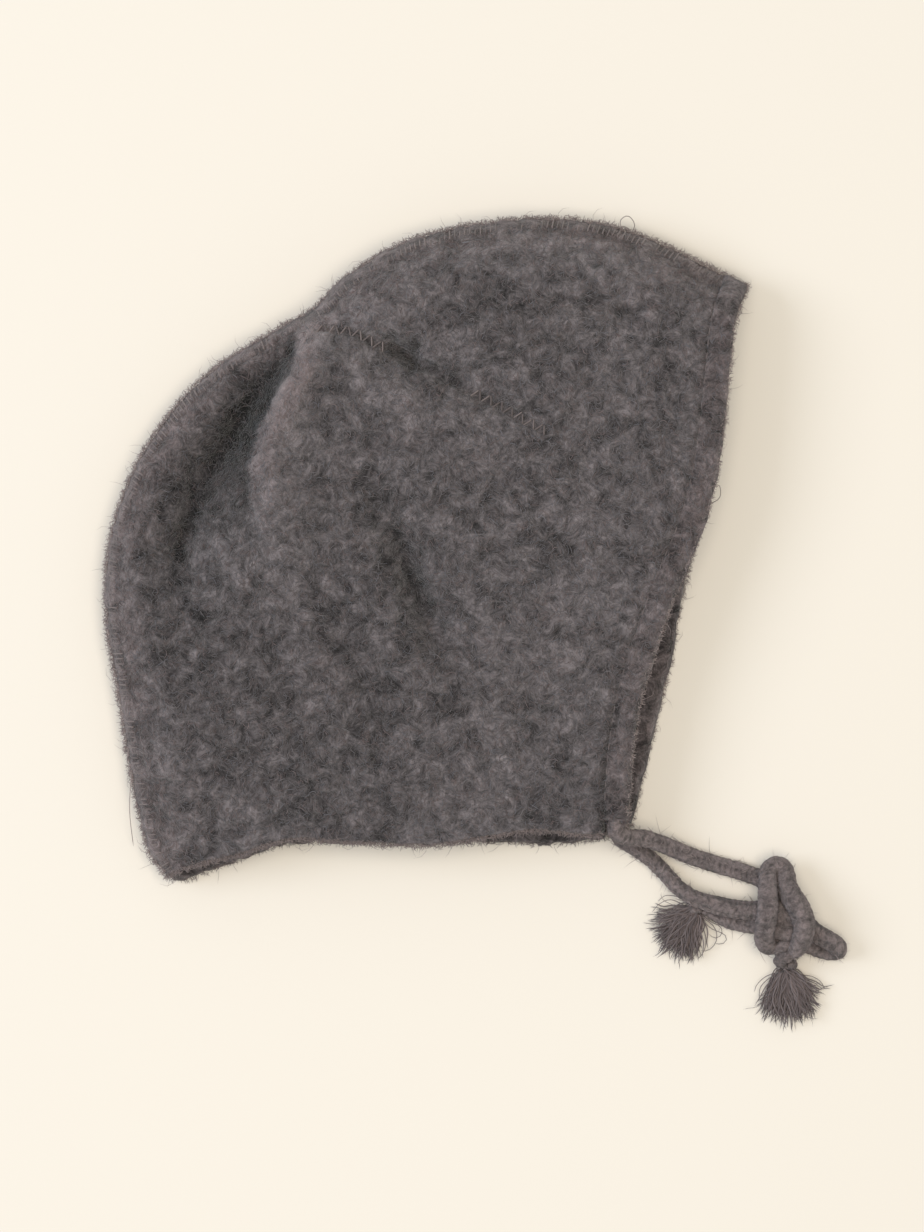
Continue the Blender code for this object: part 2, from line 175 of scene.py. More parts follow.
def makePiece(name, points, quads, tris=(), attributes=None):
    # a mesh from an array of points in millimetres, with its faces as arrays of corner numbers
    tris = np.reshape(tris, (-1, 3))
    corners = np.concatenate([quads.ravel(), tris.ravel()]).astype(np.int32)
    starts = np.concatenate([np.arange(len(quads)) * 4, len(quads) * 4 + np.arange(len(tris)) * 3])
    mesh = bpy.data.meshes.new(name)
    mesh.vertices.add(len(points))
    mesh.vertices.foreach_set("co", (np.asarray(points) * mm).astype(np.float32).ravel())
    mesh.loops.add(len(corners))
    mesh.loops.foreach_set("vertex_index", corners)
    mesh.polygons.add(len(starts))
    mesh.polygons.foreach_set("loop_start", starts.astype(np.int32))
    mesh.update(calc_edges=True)
    mesh.shade_smooth()
    for key, values in (attributes or {}).items():
        layer = mesh.attributes.new(key, "FLOAT", "POINT")
        layer.data.foreach_set("value", values.astype(np.float32).ravel())
    piece = bpy.data.objects.new(name, mesh)
    bpy.context.scene.collection.objects.link(piece)
    return piece


def finishPiece(piece, material, slot, *nodes):
    piece.data.materials.append(material)
    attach(piece, "root")
    if nodes:
        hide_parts(*nodes)
    return piece


def strands(name, paths, radii, sides, shades, *finish):
    # many thin closed tubes at once: centre + radius (cos a across + sin a over), with a point at each end
    count, steps, _ = paths.shape
    way = unit(np.gradient(paths, axis=1), 1e-9)
    across = unit(np.cross(way, (0.08, 0.05, 1.0)), 1e-9)
    over = np.cross(across, way)
    angle = turns(sides)[:, None]
    ring = np.cos(angle) * across[:, 1:-1, None] + np.sin(angle) * over[:, 1:-1, None]
    ring = paths[:, 1:-1, None] + radii[:, 1:-1, None, None] * ring
    points = np.concatenate([paths[:, :1], ring.reshape(count, -1, 3), paths[:, -1:]], axis=1)
    each = (steps - 2) * sides + 2
    wall = gridFaces(steps - 2, sides, ring=True, start=1)[:, ::-1]
    caps = np.vstack([capFaces(0, 1, sides), capFaces(each - 1, each - 1 - sides, sides, True)])
    offset = (np.arange(count) * each)[:, None, None]
    quads, tris = (offset + wall).reshape(-1, 4), (offset + caps).reshape(-1, 3)
    piece = makePiece(name, points.reshape(-1, 3), quads, tris, {"shade": np.repeat(shades, each)})
    return finishPiece(piece, *finish)


def carriedFrames(path):
    # unit vectors along, across and over a path, turned with it as little as it allows
    way = unit(np.gradient(path, axis=0))
    across = np.empty_like(way)
    across[0] = np.cross(way[0], (0, 0, 1))
    for i in range(1, len(way)):
        across[i] = unit(across[i - 1] - way[i] * (across[i - 1] @ way[i]))
    across[0] = unit(across[0])
    return way, across, np.cross(across, way)


def tube(name, path, radius, tone, *finish):
    # a profile carried along a path: centre + radius(i, a) (cos a across + sin a over), ends closed, and
    # kept off the floor
    way, across, over = carriedFrames(path)
    sides, total = radius.shape[1], radius.size
    angle = turns(sides)[None, :, None]
    ring = np.cos(angle) * across[:, None] + np.sin(angle) * over[:, None]
    ends = [path[0] - way[0] * radius[0].mean() * 0.2, path[-1] + way[-1] * radius[-1].mean() * 0.2]
    points = np.vstack([(path[:, None] + radius[..., None] * ring).reshape(-1, 3), ends])
    points[:, 2] = np.maximum(points[:, 2], 0.03)
    quads = gridFaces(len(path), sides, ring=True)[:, ::-1]
    tris = np.vstack([capFaces(total, 0, sides), capFaces(total + 1, total - sides, sides, True)])
    return finishPiece(makePiece(name, points, quads, tris, {"tone": np.append(tone, [0, 0])}), *finish)


# the cloth's shape
cloth = {
    "depth": 161.0,
    "height": 165.0,
    "loft": 27.0,
    "felt": 2.6,
    "seamRoll": 15.0,
    "floorRoll": 6.0,
    "gap": 0.3,
    "hemWidth": 6.0,
    "hemThickness": 4.4,
    "hemMouth": 2.4,
    "centre": (-0.05, -0.05),
}
half = np.array([cloth["depth"] / 2, cloth["height"] / 2])
seamZ = (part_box("near_panel")[0].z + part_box("far_panel")[1].z) / 2 / mm

# the side view's outline, in shares of half the depth and half the height
seamShares = [
    (0.997, 0.794), (0.873, 0.855), (0.708, 0.933), (0.537, 0.985), (0.335, 1.0), (0.084, 0.97),
    (-0.109, 0.909), (-0.258, 0.815), (-0.354, 0.724), (-0.512, 0.639), (-0.699, 0.515), (-0.848, 0.345),
    (-0.941, 0.173), (-0.991, 0.003), (-1.0, -0.127), (-0.991, -0.279), (-0.96, -0.445), (-0.929, -0.642),
    (-0.891, -0.824), (-0.86, -0.933), (-0.814, -0.99),
]
nearNeck = [
    (-0.814, -0.99), (-0.73, -0.955), (-0.6, -0.925), (-0.425, -0.873), (-0.22, -0.882), (0.0, -0.89),
    (0.16, -0.87), (0.33, -0.846), (0.49, -0.86), (0.621, -0.852),
]
farNeck = [
    (-0.814, -0.99), (-0.755, -0.999), (-0.62, -0.95), (-0.43, -0.89), (-0.22, -0.888), (0.0, -0.892),
    (0.2, -0.885), (0.38, -0.891), (0.5, -0.88), (0.627, -0.867),
]
nearFace = [
    (0.621, -0.852), (0.636, -0.62), (0.671, -0.424), (0.758, -0.164), (0.857, 0.076), (0.907, 0.29),
    (0.934, 0.521), (0.953, 0.676), (0.997, 0.794),
]
farFace = [
    (0.627, -0.867), (0.683, -0.648), (0.752, -0.37), (0.798, -0.142), (0.839, 0.033), (0.901, 0.339),
    (0.932, 0.57), (0.95, 0.685), (0.997, 0.794),
]

# the near panel's height at its back, middle and face, in shares of the loft, section by section
sections = {
    "y": (-1.0, -0.5, 0.0, 0.5, 1.0),
    "back": (0.40, 0.60, 0.70, 0.78, 0.74),
    "middle": (0.52, 0.72, 0.84, 0.95, 0.90),
    "face": (0.44, 0.60, 0.68, 0.68, 0.56),
}

# the folds: x, y, depth as a share of the loft, and its width to the left and to the right of the line's
# way, as shares of the depth; a ridge's depth is below zero
folds = {
    "napeValley": [
        (-0.44, 0.6, 0.14, 0.026, 0.04), (-0.56, 0.43, 0.3, 0.036, 0.056), (-0.69, 0.2, 0.36, 0.056, 0.066),
        (-0.77, -0.06, 0.25, 0.066, 0.07), (-0.73, -0.33, 0.06, 0.08, 0.08),
    ],
    "crownLip": [
        (-0.35, 0.66, -0.07, 0.044, 0.016), (-0.42, 0.5, -0.13, 0.048, 0.013),
        (-0.48, 0.33, -0.13, 0.05, 0.014), (-0.48, 0.12, -0.1, 0.052, 0.026),
        (-0.44, -0.1, -0.04, 0.05, 0.05),
    ],
    "dart": [
        (-0.33, 0.66, 0.08, 0.028, 0.028), (-0.22, 0.64, 0.1, 0.028, 0.028),
        (-0.05, 0.56, 0.16, 0.03, 0.03), (0.12, 0.48, 0.12, 0.03, 0.03), (0.36, 0.35, 0.03, 0.03, 0.03),
    ],
    "cheekCrease": [
        (-0.2, 0.27, 0.03, 0.034, 0.034), (-0.11, 0.07, 0.1, 0.034, 0.034),
        (-0.06, -0.06, 0.16, 0.034, 0.034), (0.02, -0.24, 0.13, 0.036, 0.036),
        (0.09, -0.4, 0.03, 0.04, 0.04),
    ],
    "napeCrease": [
        (-0.32, -0.08, 0.02, 0.036, 0.036), (-0.24, -0.29, 0.07, 0.036, 0.036),
        (-0.16, -0.5, 0.06, 0.036, 0.036), (-0.15, -0.68, 0.01, 0.036, 0.036),
    ],
    "dartSlash": [
        (-0.135, 0.64, 0.01, 0.01, 0.01), (-0.095, 0.61, 0.12, 0.01, 0.01),
        (-0.05, 0.575, 0.15, 0.01, 0.01), (-0.015, 0.55, 0.02, 0.01, 0.01),
    ],
    "dartSlashBeside": [
        (-0.055, 0.618, 0.01, 0.008, 0.008), (-0.025, 0.6, 0.08, 0.008, 0.008),
        (0.01, 0.575, 0.01, 0.008, 0.008),
    ],
    "creaseBottom": [
        (-0.1, 0.08, 0.01, 0.017, 0.02), (-0.06, -0.06, 0.05, 0.017, 0.02),
        (-0.01, -0.18, 0.045, 0.017, 0.02), (0.05, -0.3, 0.01, 0.017, 0.017),
    ],
    "valleyBottom": [
        (-0.5, 0.5, 0.01, 0.012, 0.012), (-0.56, 0.4, 0.06, 0.014, 0.014), (-0.62, 0.3, 0.07, 0.018, 0.018),
        (-0.7, 0.18, 0.02, 0.016, 0.016), (-0.74, 0.06, 0.08, 0.016, 0.016),
        (-0.76, -0.06, 0.02, 0.016, 0.016),
    ],
    "lowDent": [
        (-0.56, -0.23, 0.01, 0.045, 0.045), (-0.5, -0.31, 0.05, 0.045, 0.045),
        (-0.42, -0.42, 0.05, 0.05, 0.05), (-0.34, -0.52, 0.01, 0.05, 0.05),
    ],
    "browDent": [
        (0.5, 0.74, 0.01, 0.02, 0.02), (0.6, 0.7, 0.06, 0.022, 0.022), (0.66, 0.66, 0.01, 0.02, 0.02),
    ],
    "crownDent": [
        (-0.16, 0.72, 0.01, 0.02, 0.02), (0.02, 0.66, 0.05, 0.024, 0.024), (0.16, 0.6, 0.01, 0.02, 0.02),
    ],
    "jawDent": [
        (0.3, -0.38, 0.01, 0.05, 0.05), (0.34, -0.52, 0.04, 0.05, 0.05), (0.33, -0.66, 0.01, 0.05, 0.05),
    ],
}

# the crown side overlaps the back along this line: x, y, and how far it steps down there, in millimetres
step = {
    "line": [
        (-0.365, 0.703, 0.9), (-0.404, 0.615, 2.2), (-0.418, 0.527, 3.0), (-0.466, 0.46, 3.2),
        (-0.528, 0.345, 3.0), (-0.547, 0.25, 2.2), (-0.55, 0.15, 1.4), (-0.531, 0.024, 0.3),
    ],
    "edge": 0.5,
    "recovers": 8.0,
    # the painted shadow at the step's foot and the painted highlight on its lip, as shares of its drop
    "footShade": 0.42,
    "lipShade": 0.23,
}
detail = {
    # the lines pressed into the cloth and raised beside them: along which, how far from it, height and width
    "pressed": (
        ("seam", 3.5, -0.24, 0.8), ("seam", 1.75, 0.30, 1.3),
        ("dart", 0.0, -0.55, 0.8), ("dart", 2.4, 0.45, 1.2),
    ),
    "hemDip": (0.4, 0.9),
    "foldShade": 0.105,             # painted shade: how much darker the felt is for each millimetre that these fold it down
    "shadedFolds": ("napeValley", "crownLip", "cheekCrease", "napeCrease", "dartSlash", "dartSlashBeside"),
    "lumpSizes": ((11.0, 0.30), (4.2, 0.24), (2.1, 0.26), (1.3, 0.16)),
}


def sideLine(shares, count=160):
    return smoothLine(np.array(shares) * half, count)


def outlineOf(face, neck):
    # a panel's four sides anticlockwise: its face side inside the hem, the crown, the back and the neck
    faceEdge, seam, neckEdge = sideLine(face), sideLine(seamShares), sideLine(neck)
    hem = cloth["hemWidth"] + cloth["gap"]
    seam = seam[nearestOn(faceEdge, *seam.T)[0] >= hem]
    neckEdge = neckEdge[nearestOn(faceEdge, *neckEdge.T)[0] >= hem]
    inner = faceEdge + hem * leftOf(faceEdge)
    kept = (inner[:, 1] > neckEdge[-1, 1] + cloth["gap"]) & (inner[:, 1] < seam[0, 1] - cloth["gap"])
    inner = np.vstack([neckEdge[-1:], inner[kept], seam[:1]])
    seam = evenly(seam, 639)
    return {
        "face": evenly(inner, 320), "crown": seam[:320], "back": seam[319:], "neck": evenly(neckEdge, 320),
    }


def seamLine(outline):
    return np.vstack([outline["crown"], outline["back"][1:]])[::3]


nearOutline, farOutline = outlineOf(nearFace, nearNeck), outlineOf(farFace, farNeck)
nearSeam, farSeam = seamLine(nearOutline), seamLine(farOutline)


def loftAt(x, y):
    # a curve through the sections up and down, and a parabola from back to face
    across, up = x / half[0], np.clip(y / half[1], -1.02, 1.02)
    back, middle, face = (
        np.polyval(np.polyfit(sections["y"], sections[key], len(sections["y"]) - 1), up)
        for key in ("back", "middle", "face")
    )
    return cloth["loft"] * (middle + across * (face - back) / 2 + across**2 * ((face + back) / 2 - middle))


def readRows(rows, x, y, count):
    # at the smooth line through a table's rows: each point's distance and side, and the other columns there
    line = smoothLine(rows, count)
    place = line[:, :2] * half
    away, along, side = nearestOn(place, x, y)
    return away, side, [np.interp(along, lengthsTo(place), column) for column in line[:, 2:].T]


def foldDepth(x, y, names=tuple(folds)):
    # each fold pulls the cloth down by depth exp(-(distance / width)^2), its widths unlike on its two sides
    total = np.zeros(np.shape(x))
    for name in names:
        away, side, (depth, left, right) = readRows(folds[name], x, y, 40)
        total += depth * cloth["loft"] * bell(away, np.where(side > 0, left, right) * cloth["depth"])
    return total


def stepAt(x, y):
    # how far the crown's side steps down beside each point, and how far that is to the right of the line
    away, side, (drop,) = readRows(step["line"], x, y, 60)
    return drop, np.where(side < 0, away, -away)


def stepDepth(x, y):
    # right of the step's line the cloth lies lower by drop / (1 + exp(-4 away / edge)) exp(-away / recovers)
    drop, signed = stepAt(x, y)
    return drop * gate(4 * signed / step["edge"]) * np.exp(-np.clip(signed, 0, None) / step["recovers"])


def stepShade(x, y):
    # a painted shadow at the step's foot and a painted highlight on its lip: -foot drop e^(-away / 6) and lip
    # drop e^(-(away / 2 + 1)^2)
    drop, signed = stepAt(x, y)
    foot = np.exp(-np.clip(signed, 0, None) / 6) * gate(6 * signed)
    return drop * (step["lipShade"] * bell(signed + 2, 2) - step["footShade"] * foot)


def risen(line, reach, x, y):
    # a quarter of an ellipse, from 0 on the line to 1 at this reach from it
    return np.sqrt(1 - (1 - np.clip(nearestOn(line, x, y)[0] / reach, 0, 1)) ** 2)


def nearSmooth(x, y):
    # the near panel's outer face: seam + rise (loft - seam - folds), the rise in from the seam
    high = loftAt(x, y) - seamZ - foldDepth(x, y) - stepDepth(x, y)
    return seamZ + risen(nearSeam, cloth["seamRoll"], x, y) * high


def farSmooth(x, y):
    # the far panel's outer face: flat on the floor, rolling up to the seam
    return seamZ * (1 - risen(farSeam, cloth["floorRoll"], x, y))


def hemRoute(face, top):
    # the middle of a hem, from its mouth above the neck to the top corner
    faceEdge = sideLine(face)
    left = leftOf(faceEdge)
    kept = np.linalg.norm(faceEdge[0] - faceEdge, axis=1) >= cloth["hemMouth"]
    middle = (faceEdge + cloth["hemWidth"] / 2 * left)[kept]
    beside = (faceEdge + (cloth["hemWidth"] + cloth["gap"]) * left)[kept]
    return evenly(np.column_stack([middle, top(*beside.T) - cloth["hemThickness"] / 2]), 160)


def nearHemTop(x, y):
    return np.maximum(nearSmooth(x, y), 2 * cloth["hemThickness"] + cloth["gap"])


def farHemTop(x, y):
    return np.full(np.shape(x), cloth["hemThickness"])


hems = {"near": hemRoute(nearFace, nearHemTop), "far": hemRoute(farFace, farHemTop)}
hemShape = {
    "out": 3.05, "in": 3.42, "up": 2.35, "down": 2.30,
    "roundOut": 0.62, "roundIn": 0.34,      # the powers of the section's cosine and sine
    "hole": (2.0, 1.75), "holeDepths": (10.0, 6.0, 3.0, 1.2, 0.3), "lip": 0.45,
    "sides": 44, "rings": 150, "closesOver": 4.0,
}


def closing(away):
    # a hem's height near its cut end, in shares: sqrt(1 - 0.9 (1 - away / closes over)^2)
    return np.sqrt(1 - 0.9 * (1 - away / hemShape["closesOver"]).clip(0, 1) ** 2)


# the whole shape as a map, for what lies on the cloth
mapStep = 0.5
mapX, mapY = np.arange(-87, 87.1, mapStep), np.arange(-89, 89.1, mapStep)
gridX, gridY = np.meshgrid(mapX, mapY, indexing="ij")
dartLine = smoothLine(folds["dart"], 60)[:, :2] * half
seamAway, dartAway, faceAway, rimAway = (
    nearestOn(line, gridX, gridY)[0]
    for line in (nearSeam, dartLine, sideLine(nearFace), sideLine(seamShares))
)


def readMap(values, x, y):
    u = np.clip((x - mapX[0]) / mapStep, 0, len(mapX) - 1.001)
    v = np.clip((y - mapY[0]) / mapStep, 0, len(mapY) - 1.001)
    i, j = u.astype(int), v.astype(int)
    return between(values, i, j, u - i, v - j)


def blurred(values, reach):
    # the map averaged over its neighbourhood, along each axis in turn, with bell-shaped weights
    steps = int(3 * reach / mapStep)
    weights = np.exp(-((np.arange(-steps, steps + 1) * mapStep / reach) ** 2) / 2)
    weights /= weights.sum()
    for axis in (0, 1):
        padded = np.pad(values, [(steps, steps) if k == axis else (0, 0) for k in (0, 1)], mode="edge")
        values = np.apply_along_axis(np.convolve, axis, padded, weights, "valid")
    return values


def feltLumps(x, y, seed=3, share=1.0):
    # the felt's unevenness: lumps of several sizes added up
    sizes = detail["lumpSizes"]
    return share * sum(lumps(x, y, size, seed + k) * high for k, (size, high) in enumerate(sizes))


def relief(x, y):
    # what stands proud of the smooth cloth: the felt's lumps, the pressed seam line, the dart, the hem's dip
    total = feltLumps(x, y)
    away = {"seam": readMap(seamAway, x, y), "dart": readMap(dartAway, x, y)}
    for line, place, high, wide in detail["pressed"]:
        total = total + high * bell(away[line] - place, wide)
    depth, wide = detail["hemDip"]
    hem = readMap(faceAway, x, y) - cloth["hemWidth"] - cloth["gap"]
    return total - depth * np.exp(-np.abs(hem) / wide)


def hemTop(x, y):
    # the near hem's upper side: middle + up (1 - |across / half width|^(2 / round))^(round / 2), closing
    # towards its top end
    path = np.vstack([hems["near"], 7 * hems["near"][-1] - 6 * hems["near"][-2]])
    away, along, side = nearestOn(path, x, y)
    middle = np.interp(along, lengthsTo(path[:, :2]), path[:, 2])
    width = np.where(side > 0, hemShape["in"], hemShape["out"])
    power = np.where(side > 0, hemShape["roundIn"], hemShape["roundOut"])
    inside = np.clip(1 - (away / width) ** (2 / power), 0, 1)
    close = closing(nearestOn(sideLine(seamShares), x, y)[0])
    top = middle + (hemShape["up"] * inside ** (power / 2) + hemShape["down"]) * close - hemShape["down"]
    return np.where(away < width, top, -99)


smoothMap = nearSmooth(gridX, gridY)
proud = relief(gridX, gridY)
inHem = faceAway < cloth["hemWidth"] + cloth["gap"] / 2
topMap = np.where(inHem, np.maximum(hemTop(gridX, gridY), 0.5), smoothMap) + proud


def standsOut(reach):
    # how far the cloth stands above its neighbourhood; on the hem only its relief counts
    values = smoothMap + proud
    return np.where(inHem, proud - blurred(proud, reach), values - blurred(values, reach))


# how light the felt is: painted shade in its hollows, small and large, a painted highlight on its lumps and
# its seamed rim, painted shade in its folds, and real flecks that make it uneven all over
flecksAndShade = {
    "bends": (2.6, 2.0),            # the size of the bends and how far they push the flecks about
    "sizes": ((2.5, 0.22), (1.25, 0.80)),
    "share": 0.52,
    "hollows": ((1.3, 0.50), (4.0, 0.34)),      # painted shade in hollows and highlight on lumps: the size of the neighbourhoods and their shares
    # a painted highlight along the seamed rim: its width and share, and a narrower one at the very edge
    "rim": ((2.4, 0.45), (0.7, 0.9)),
    "rimFade": (1.0, 4.0),          # how far from the rim the hollows' shades start, and over how much
    "hemEdge": (-0.8, 7.0, 1.4, -36.0, 4.0),    # painted shade in the groove at the hem's inner edge: shade, distance from the face edge, width, its top, fade
    "broad": (                      # wide patches: x, y, reach and how much lighter; the three at x -45 to -58 are painted shade in the nape valley
        (-28, -40, 38, -0.38), (8, 62, 26, -0.30), (-12, 0, 22, -0.16), (38, -20, 30, 0.08),
        (-45, 34, 6, -0.75), (-58, 15, 8, -0.40), (-50, 25, 6, -0.50), (77, 61, 5, -0.60),
    ),
}
far, push = flecksAndShade["bends"]
bentX, bentY = (place + push * lumps(gridX, gridY, far, seed) for place, seed in ((gridX, 81), (gridY, 82)))
fleckMap = sum(lumps(bentX, bentY, size, 71 + k) * high for k, (size, high) in enumerate(flecksAndShade["sizes"]))
folded = np.clip(foldDepth(gridX, gridY, detail["shadedFolds"]), -3, 12)
shadeAndToneMap = sum(share * standsOut(reach) for reach, share in flecksAndShade["hollows"]).clip(-1, 0.7)
# the step's painted shadow and highlight, and painted shade where the folds press the cloth down
shadeAndToneMap = shadeAndToneMap + stepShade(gridX, gridY) - detail["foldShade"] * folded
start, over = flecksAndShade["rimFade"]
shadeAndToneMap = np.clip((rimAway - start) / over, 0, 1) * shadeAndToneMap + flecksAndShade["share"] * fleckMap
# the painted highlight along the seamed rim
(wide, tone), (edge, edgeTone) = flecksAndShade["rim"]
shadeAndToneMap = shadeAndToneMap + tone * bell(rimAway, wide) + edgeTone * np.exp(-rimAway / edge)
for x, y, wide, tone in flecksAndShade["broad"]:
    shadeAndToneMap = shadeAndToneMap + tone * np.exp(-((gridX - x) ** 2 + (gridY - y) ** 2) / wide**2)
# painted shade low on the hem's inner edge, in its groove: shade e^(-((away - distance) / width)^2) / (1 +
# e^((y - top) / fade))
shade, place, wide, top, fade = flecksAndShade["hemEdge"]
shadeAndToneMap = shadeAndToneMap + shade * bell(faceAway - place, wide) * gate((top - gridY) / fade)
# how warm its colour is: most on the seamed rim, the hem and the step's lip
warmth = {"rim": 7.0, "lip": (0.25, 3.2, 4.0), "hem": (0.7, 7.0)}
lipDrop, lipAway = stepAt(gridX, gridY)
share, place, wide = warmth["lip"]
warmMap = bell(rimAway, warmth["rim"]) + share * lipDrop.clip(0, 4) * bell(lipAway + place, wide)
share, wide = warmth["hem"]
warmMap = np.maximum(warmMap, share * np.exp(-((faceAway / wide) ** 4))).clip(0, 1)


def nearTop(x, y):
    return readMap(topMap, x, y)


def insideNear(x, y):
    # whether a point of the map is on the near panel or its hem
    line = np.vstack([sideLine(nearNeck), sideLine(nearFace)[1:], sideLine(seamShares)[1:-1]])
    inside = np.zeros(np.shape(x), bool)
    for (ax, ay), (bx, by) in zip(line, np.roll(line, -1, axis=0)):
        crosses = (ay > y) != (by > y)
        inside ^= crosses & (x < (bx - ax) * (y - ay) / (by - ay + 1e-12) + ax)
    return inside


insideMap = insideNear(gridX, gridY).astype(float)
print("cloth mapped")


# materials
class Shade:
    # a socket of a material's nodes, with the sums that its shader needs
    def __init__(self, tree, socket):
        self.tree = tree
        self.socket = socket

    def make(self, kind, settings=None, sockets=None, output=0):
        # any node: its settings first, then the values or links of its sockets
        node = self.tree.nodes.new(kind)
        for key, value in (settings or {}).items():
            setattr(node, key, value)
        fillSockets(self.tree, node, sockets or {})
        return Shade(self.tree, node.outputs[output])

    def math(self, operation, *values):
        return self.make("ShaderNodeMath", {"operation": operation}, dict(enumerate(values)))

    def vector(self, operation, sockets):
        return self.make("ShaderNodeVectorMath", {"operation": operation}, sockets)

    def attribute(self, name):
        return self.make("ShaderNodeAttribute", {"attribute_name": name}, {}, 2)

    def __add__(self, other):
        return self.math("ADD", self, other)

    def __sub__(self, other):
        return self.math("SUBTRACT", self, other)
    def __rsub__(self, other):
        return self.math("SUBTRACT", other, self)

    def __mul__(self, other):
        return self.math("MULTIPLY", self, other)

    def __abs__(self):
        return self.math("ABSOLUTE", self)

    __radd__, __rmul__ = __add__, __mul__

    def eased(self, low, high):
        # 0 below low, 1 above high and smooth between
        return self.make(
            "ShaderNodeMapRange",
            {"interpolation_type": "SMOOTHSTEP"},
            {"Value": self, "From Min": low, "From Max": high},
        )

    def noise(self, scale, detail=2.0, roughness=0.5, distortion=0.0, output=0):
        # this socket is the place that the noise is read at, and the scale is in lumps a metre
        sockets = {"Vector": self, "Scale": scale, "Detail": detail, "Roughness": roughness}
        return self.make("ShaderNodeTexNoise", {}, {**sockets, "Distortion": distortion}, output)

    def moved(self, other, far):
        # this place, pushed about by a noise's colour
        push = self.vector("SUBTRACT", {0: other, 1: (0.5, 0.5, 0.5)})
        return self.vector("ADD", {0: self, 1: self.vector("SCALE", {0: push, "Scale": far})})

    def tinted(self, low, high):
        # a colour between low and high, by this value
        return self.make("ShaderNodeMix", {"data_type": "RGBA"}, {0: self, 6: low, 7: high}, 2)

    def times(self, colour):
        # a colour made this many times as bright
        return self.vector("SCALE", {0: colour, "Scale": self})


def fillSockets(tree, node, sockets):
    # each socket's value, or its link where the value comes from another node
    for key, value in sockets.items():
        if isinstance(value, Shade):
            tree.links.new(value.socket, node.inputs[key])
        else:
            node.inputs[key].default_value = value


def startMaterial(name):
    material = bpy.data.materials.new(name)
    material.use_nodes = True
    tree = material.node_tree
    place = tree.nodes.new("ShaderNodeTexCoord").outputs["Object"]
    return material, tree.nodes["Principled BSDF"], Shade(tree, place)


felt = {
    "base": (0.1060, 0.0940, 0.0985, 1), "warm": (0.1140, 0.0930, 0.0950, 1), "hair": 1.7, "contrast": 5.8,
    "tone": 0.60, "sheen": 0.25, "bump": 0.0006, "size": 1.0, "swirl": 0.6,
}
cordLook = {
    "base": (0.1630, 0.1320, 0.1330, 1), "warm": (0.1750, 0.1390, 0.1380, 1), "hair": 1.6, "contrast": 4.8,
    "tone": 0.7, "sheen": 0.25, "bump": 0.0005, "size": 0.38, "swirl": 0.6,
}


def feltMaterial(name, look):
    # mottled wool: base e^(level (1 - 0.35 level)), level = contrast (noise - 0.5) + tone, where the tone
    # read from the mesh carries painted shade and highlight as well as flecks; with curly hairs where bent
    # noise crosses 0.5
    material, shader, place = startMaterial(name)
    size = look["size"]
    mottle = place.noise(215 / size, 4.0, 0.85, look["swirl"])
    patches = place.noise(48 / size, 2.0, 0.6)
    curls = []
    for wide, far, fine in ((260, 0.0062, 400), (180, 0.0095, 540)):
        bent = place.moved(place.noise(wide / size, 2.0, output=1), far * size)
        curls.append(1 - abs(bent.noise(fine / size, 1.0) - 0.5).eased(0.004, 0.045))
    broken = place.noise(300 / size, 1.0).eased(0.44, 0.58)
    hair = place.math("MAXIMUM", curls[0] * broken, curls[1] * (1 - broken))
    level = (mottle - 0.5) * look["contrast"] + (patches - 0.5) * look["contrast"] * 0.22
    level = level + place.attribute("tone") * look["tone"]
    level = level * (1 - level * 0.35)
    glow = level.math("EXPONENT", level) * (1 + hair * (look["hair"] - 1) * 0.42)
    warmth = (place.attribute("warm") + place.noise(60, 2.0) - 0.5).eased(-0.1, 1.0)
    high = (mottle - 0.5) * 5 + hair * 0.30
    bump = place.make("ShaderNodeBump", {}, {"Height": high, "Distance": look["bump"], "Strength": 0.85})
    fillSockets(material.node_tree, shader, {
        "Base Color": glow.times(warmth.tinted(look["base"], look["warm"])), "Normal": bump,
        "Roughness": 0.95, "Specular IOR Level": 0.10, "Sheen Weight": look["sheen"], "Sheen Roughness": 0.55,
    })
    return material


def hairMaterial(name, dark, pale):
    # loose fibres: each has its own shade, read from the mesh, from dark at 0 to pale at 1
    material, shader, place = startMaterial(name)
    uneven = place.attribute("shade") * 0.85 + place.noise(900, 1.0) * 0.15
    fillSockets(material.node_tree, shader, {
        "Base Color": uneven.tinted((*dark, 1), (*pale, 1)), "Roughness": 0.9, "Specular IOR Level": 0.15,
        "Sheen Weight": 0.2,
    })
    return material


hairColours = {                     # from dark to pale
    "feltFibres0": ((0.059, 0.053, 0.057), (0.232, 0.213, 0.225)),
    "feltFibres1": ((0.054, 0.051, 0.057), (0.224, 0.220, 0.248)),
    "feltFibres2": ((0.064, 0.049, 0.050), (0.254, 0.200, 0.203)),
    # edge hairs are paler than the felt's own fibres: partly a painted highlight of lit loose fuzz
    "edgeHairs": ((0.170, 0.138, 0.136), (0.440, 0.360, 0.350)),
    "seamThread": ((0.080, 0.066, 0.066), (0.230, 0.192, 0.190)),
    "fringeYarn": ((0.080, 0.064, 0.066), (0.260, 0.216, 0.220)),
}
feltMade, cordMade = feltMaterial("woolFelt", felt), feltMaterial("woolCord", cordLook)
hairsMade = {name: hairMaterial(name, *colours) for name, colours in hairColours.items()}
rimMade, threadMade, fringeMade = (hairsMade[name] for name in ("edgeHairs", "seamThread", "fringeYarn"))
print("materials made")


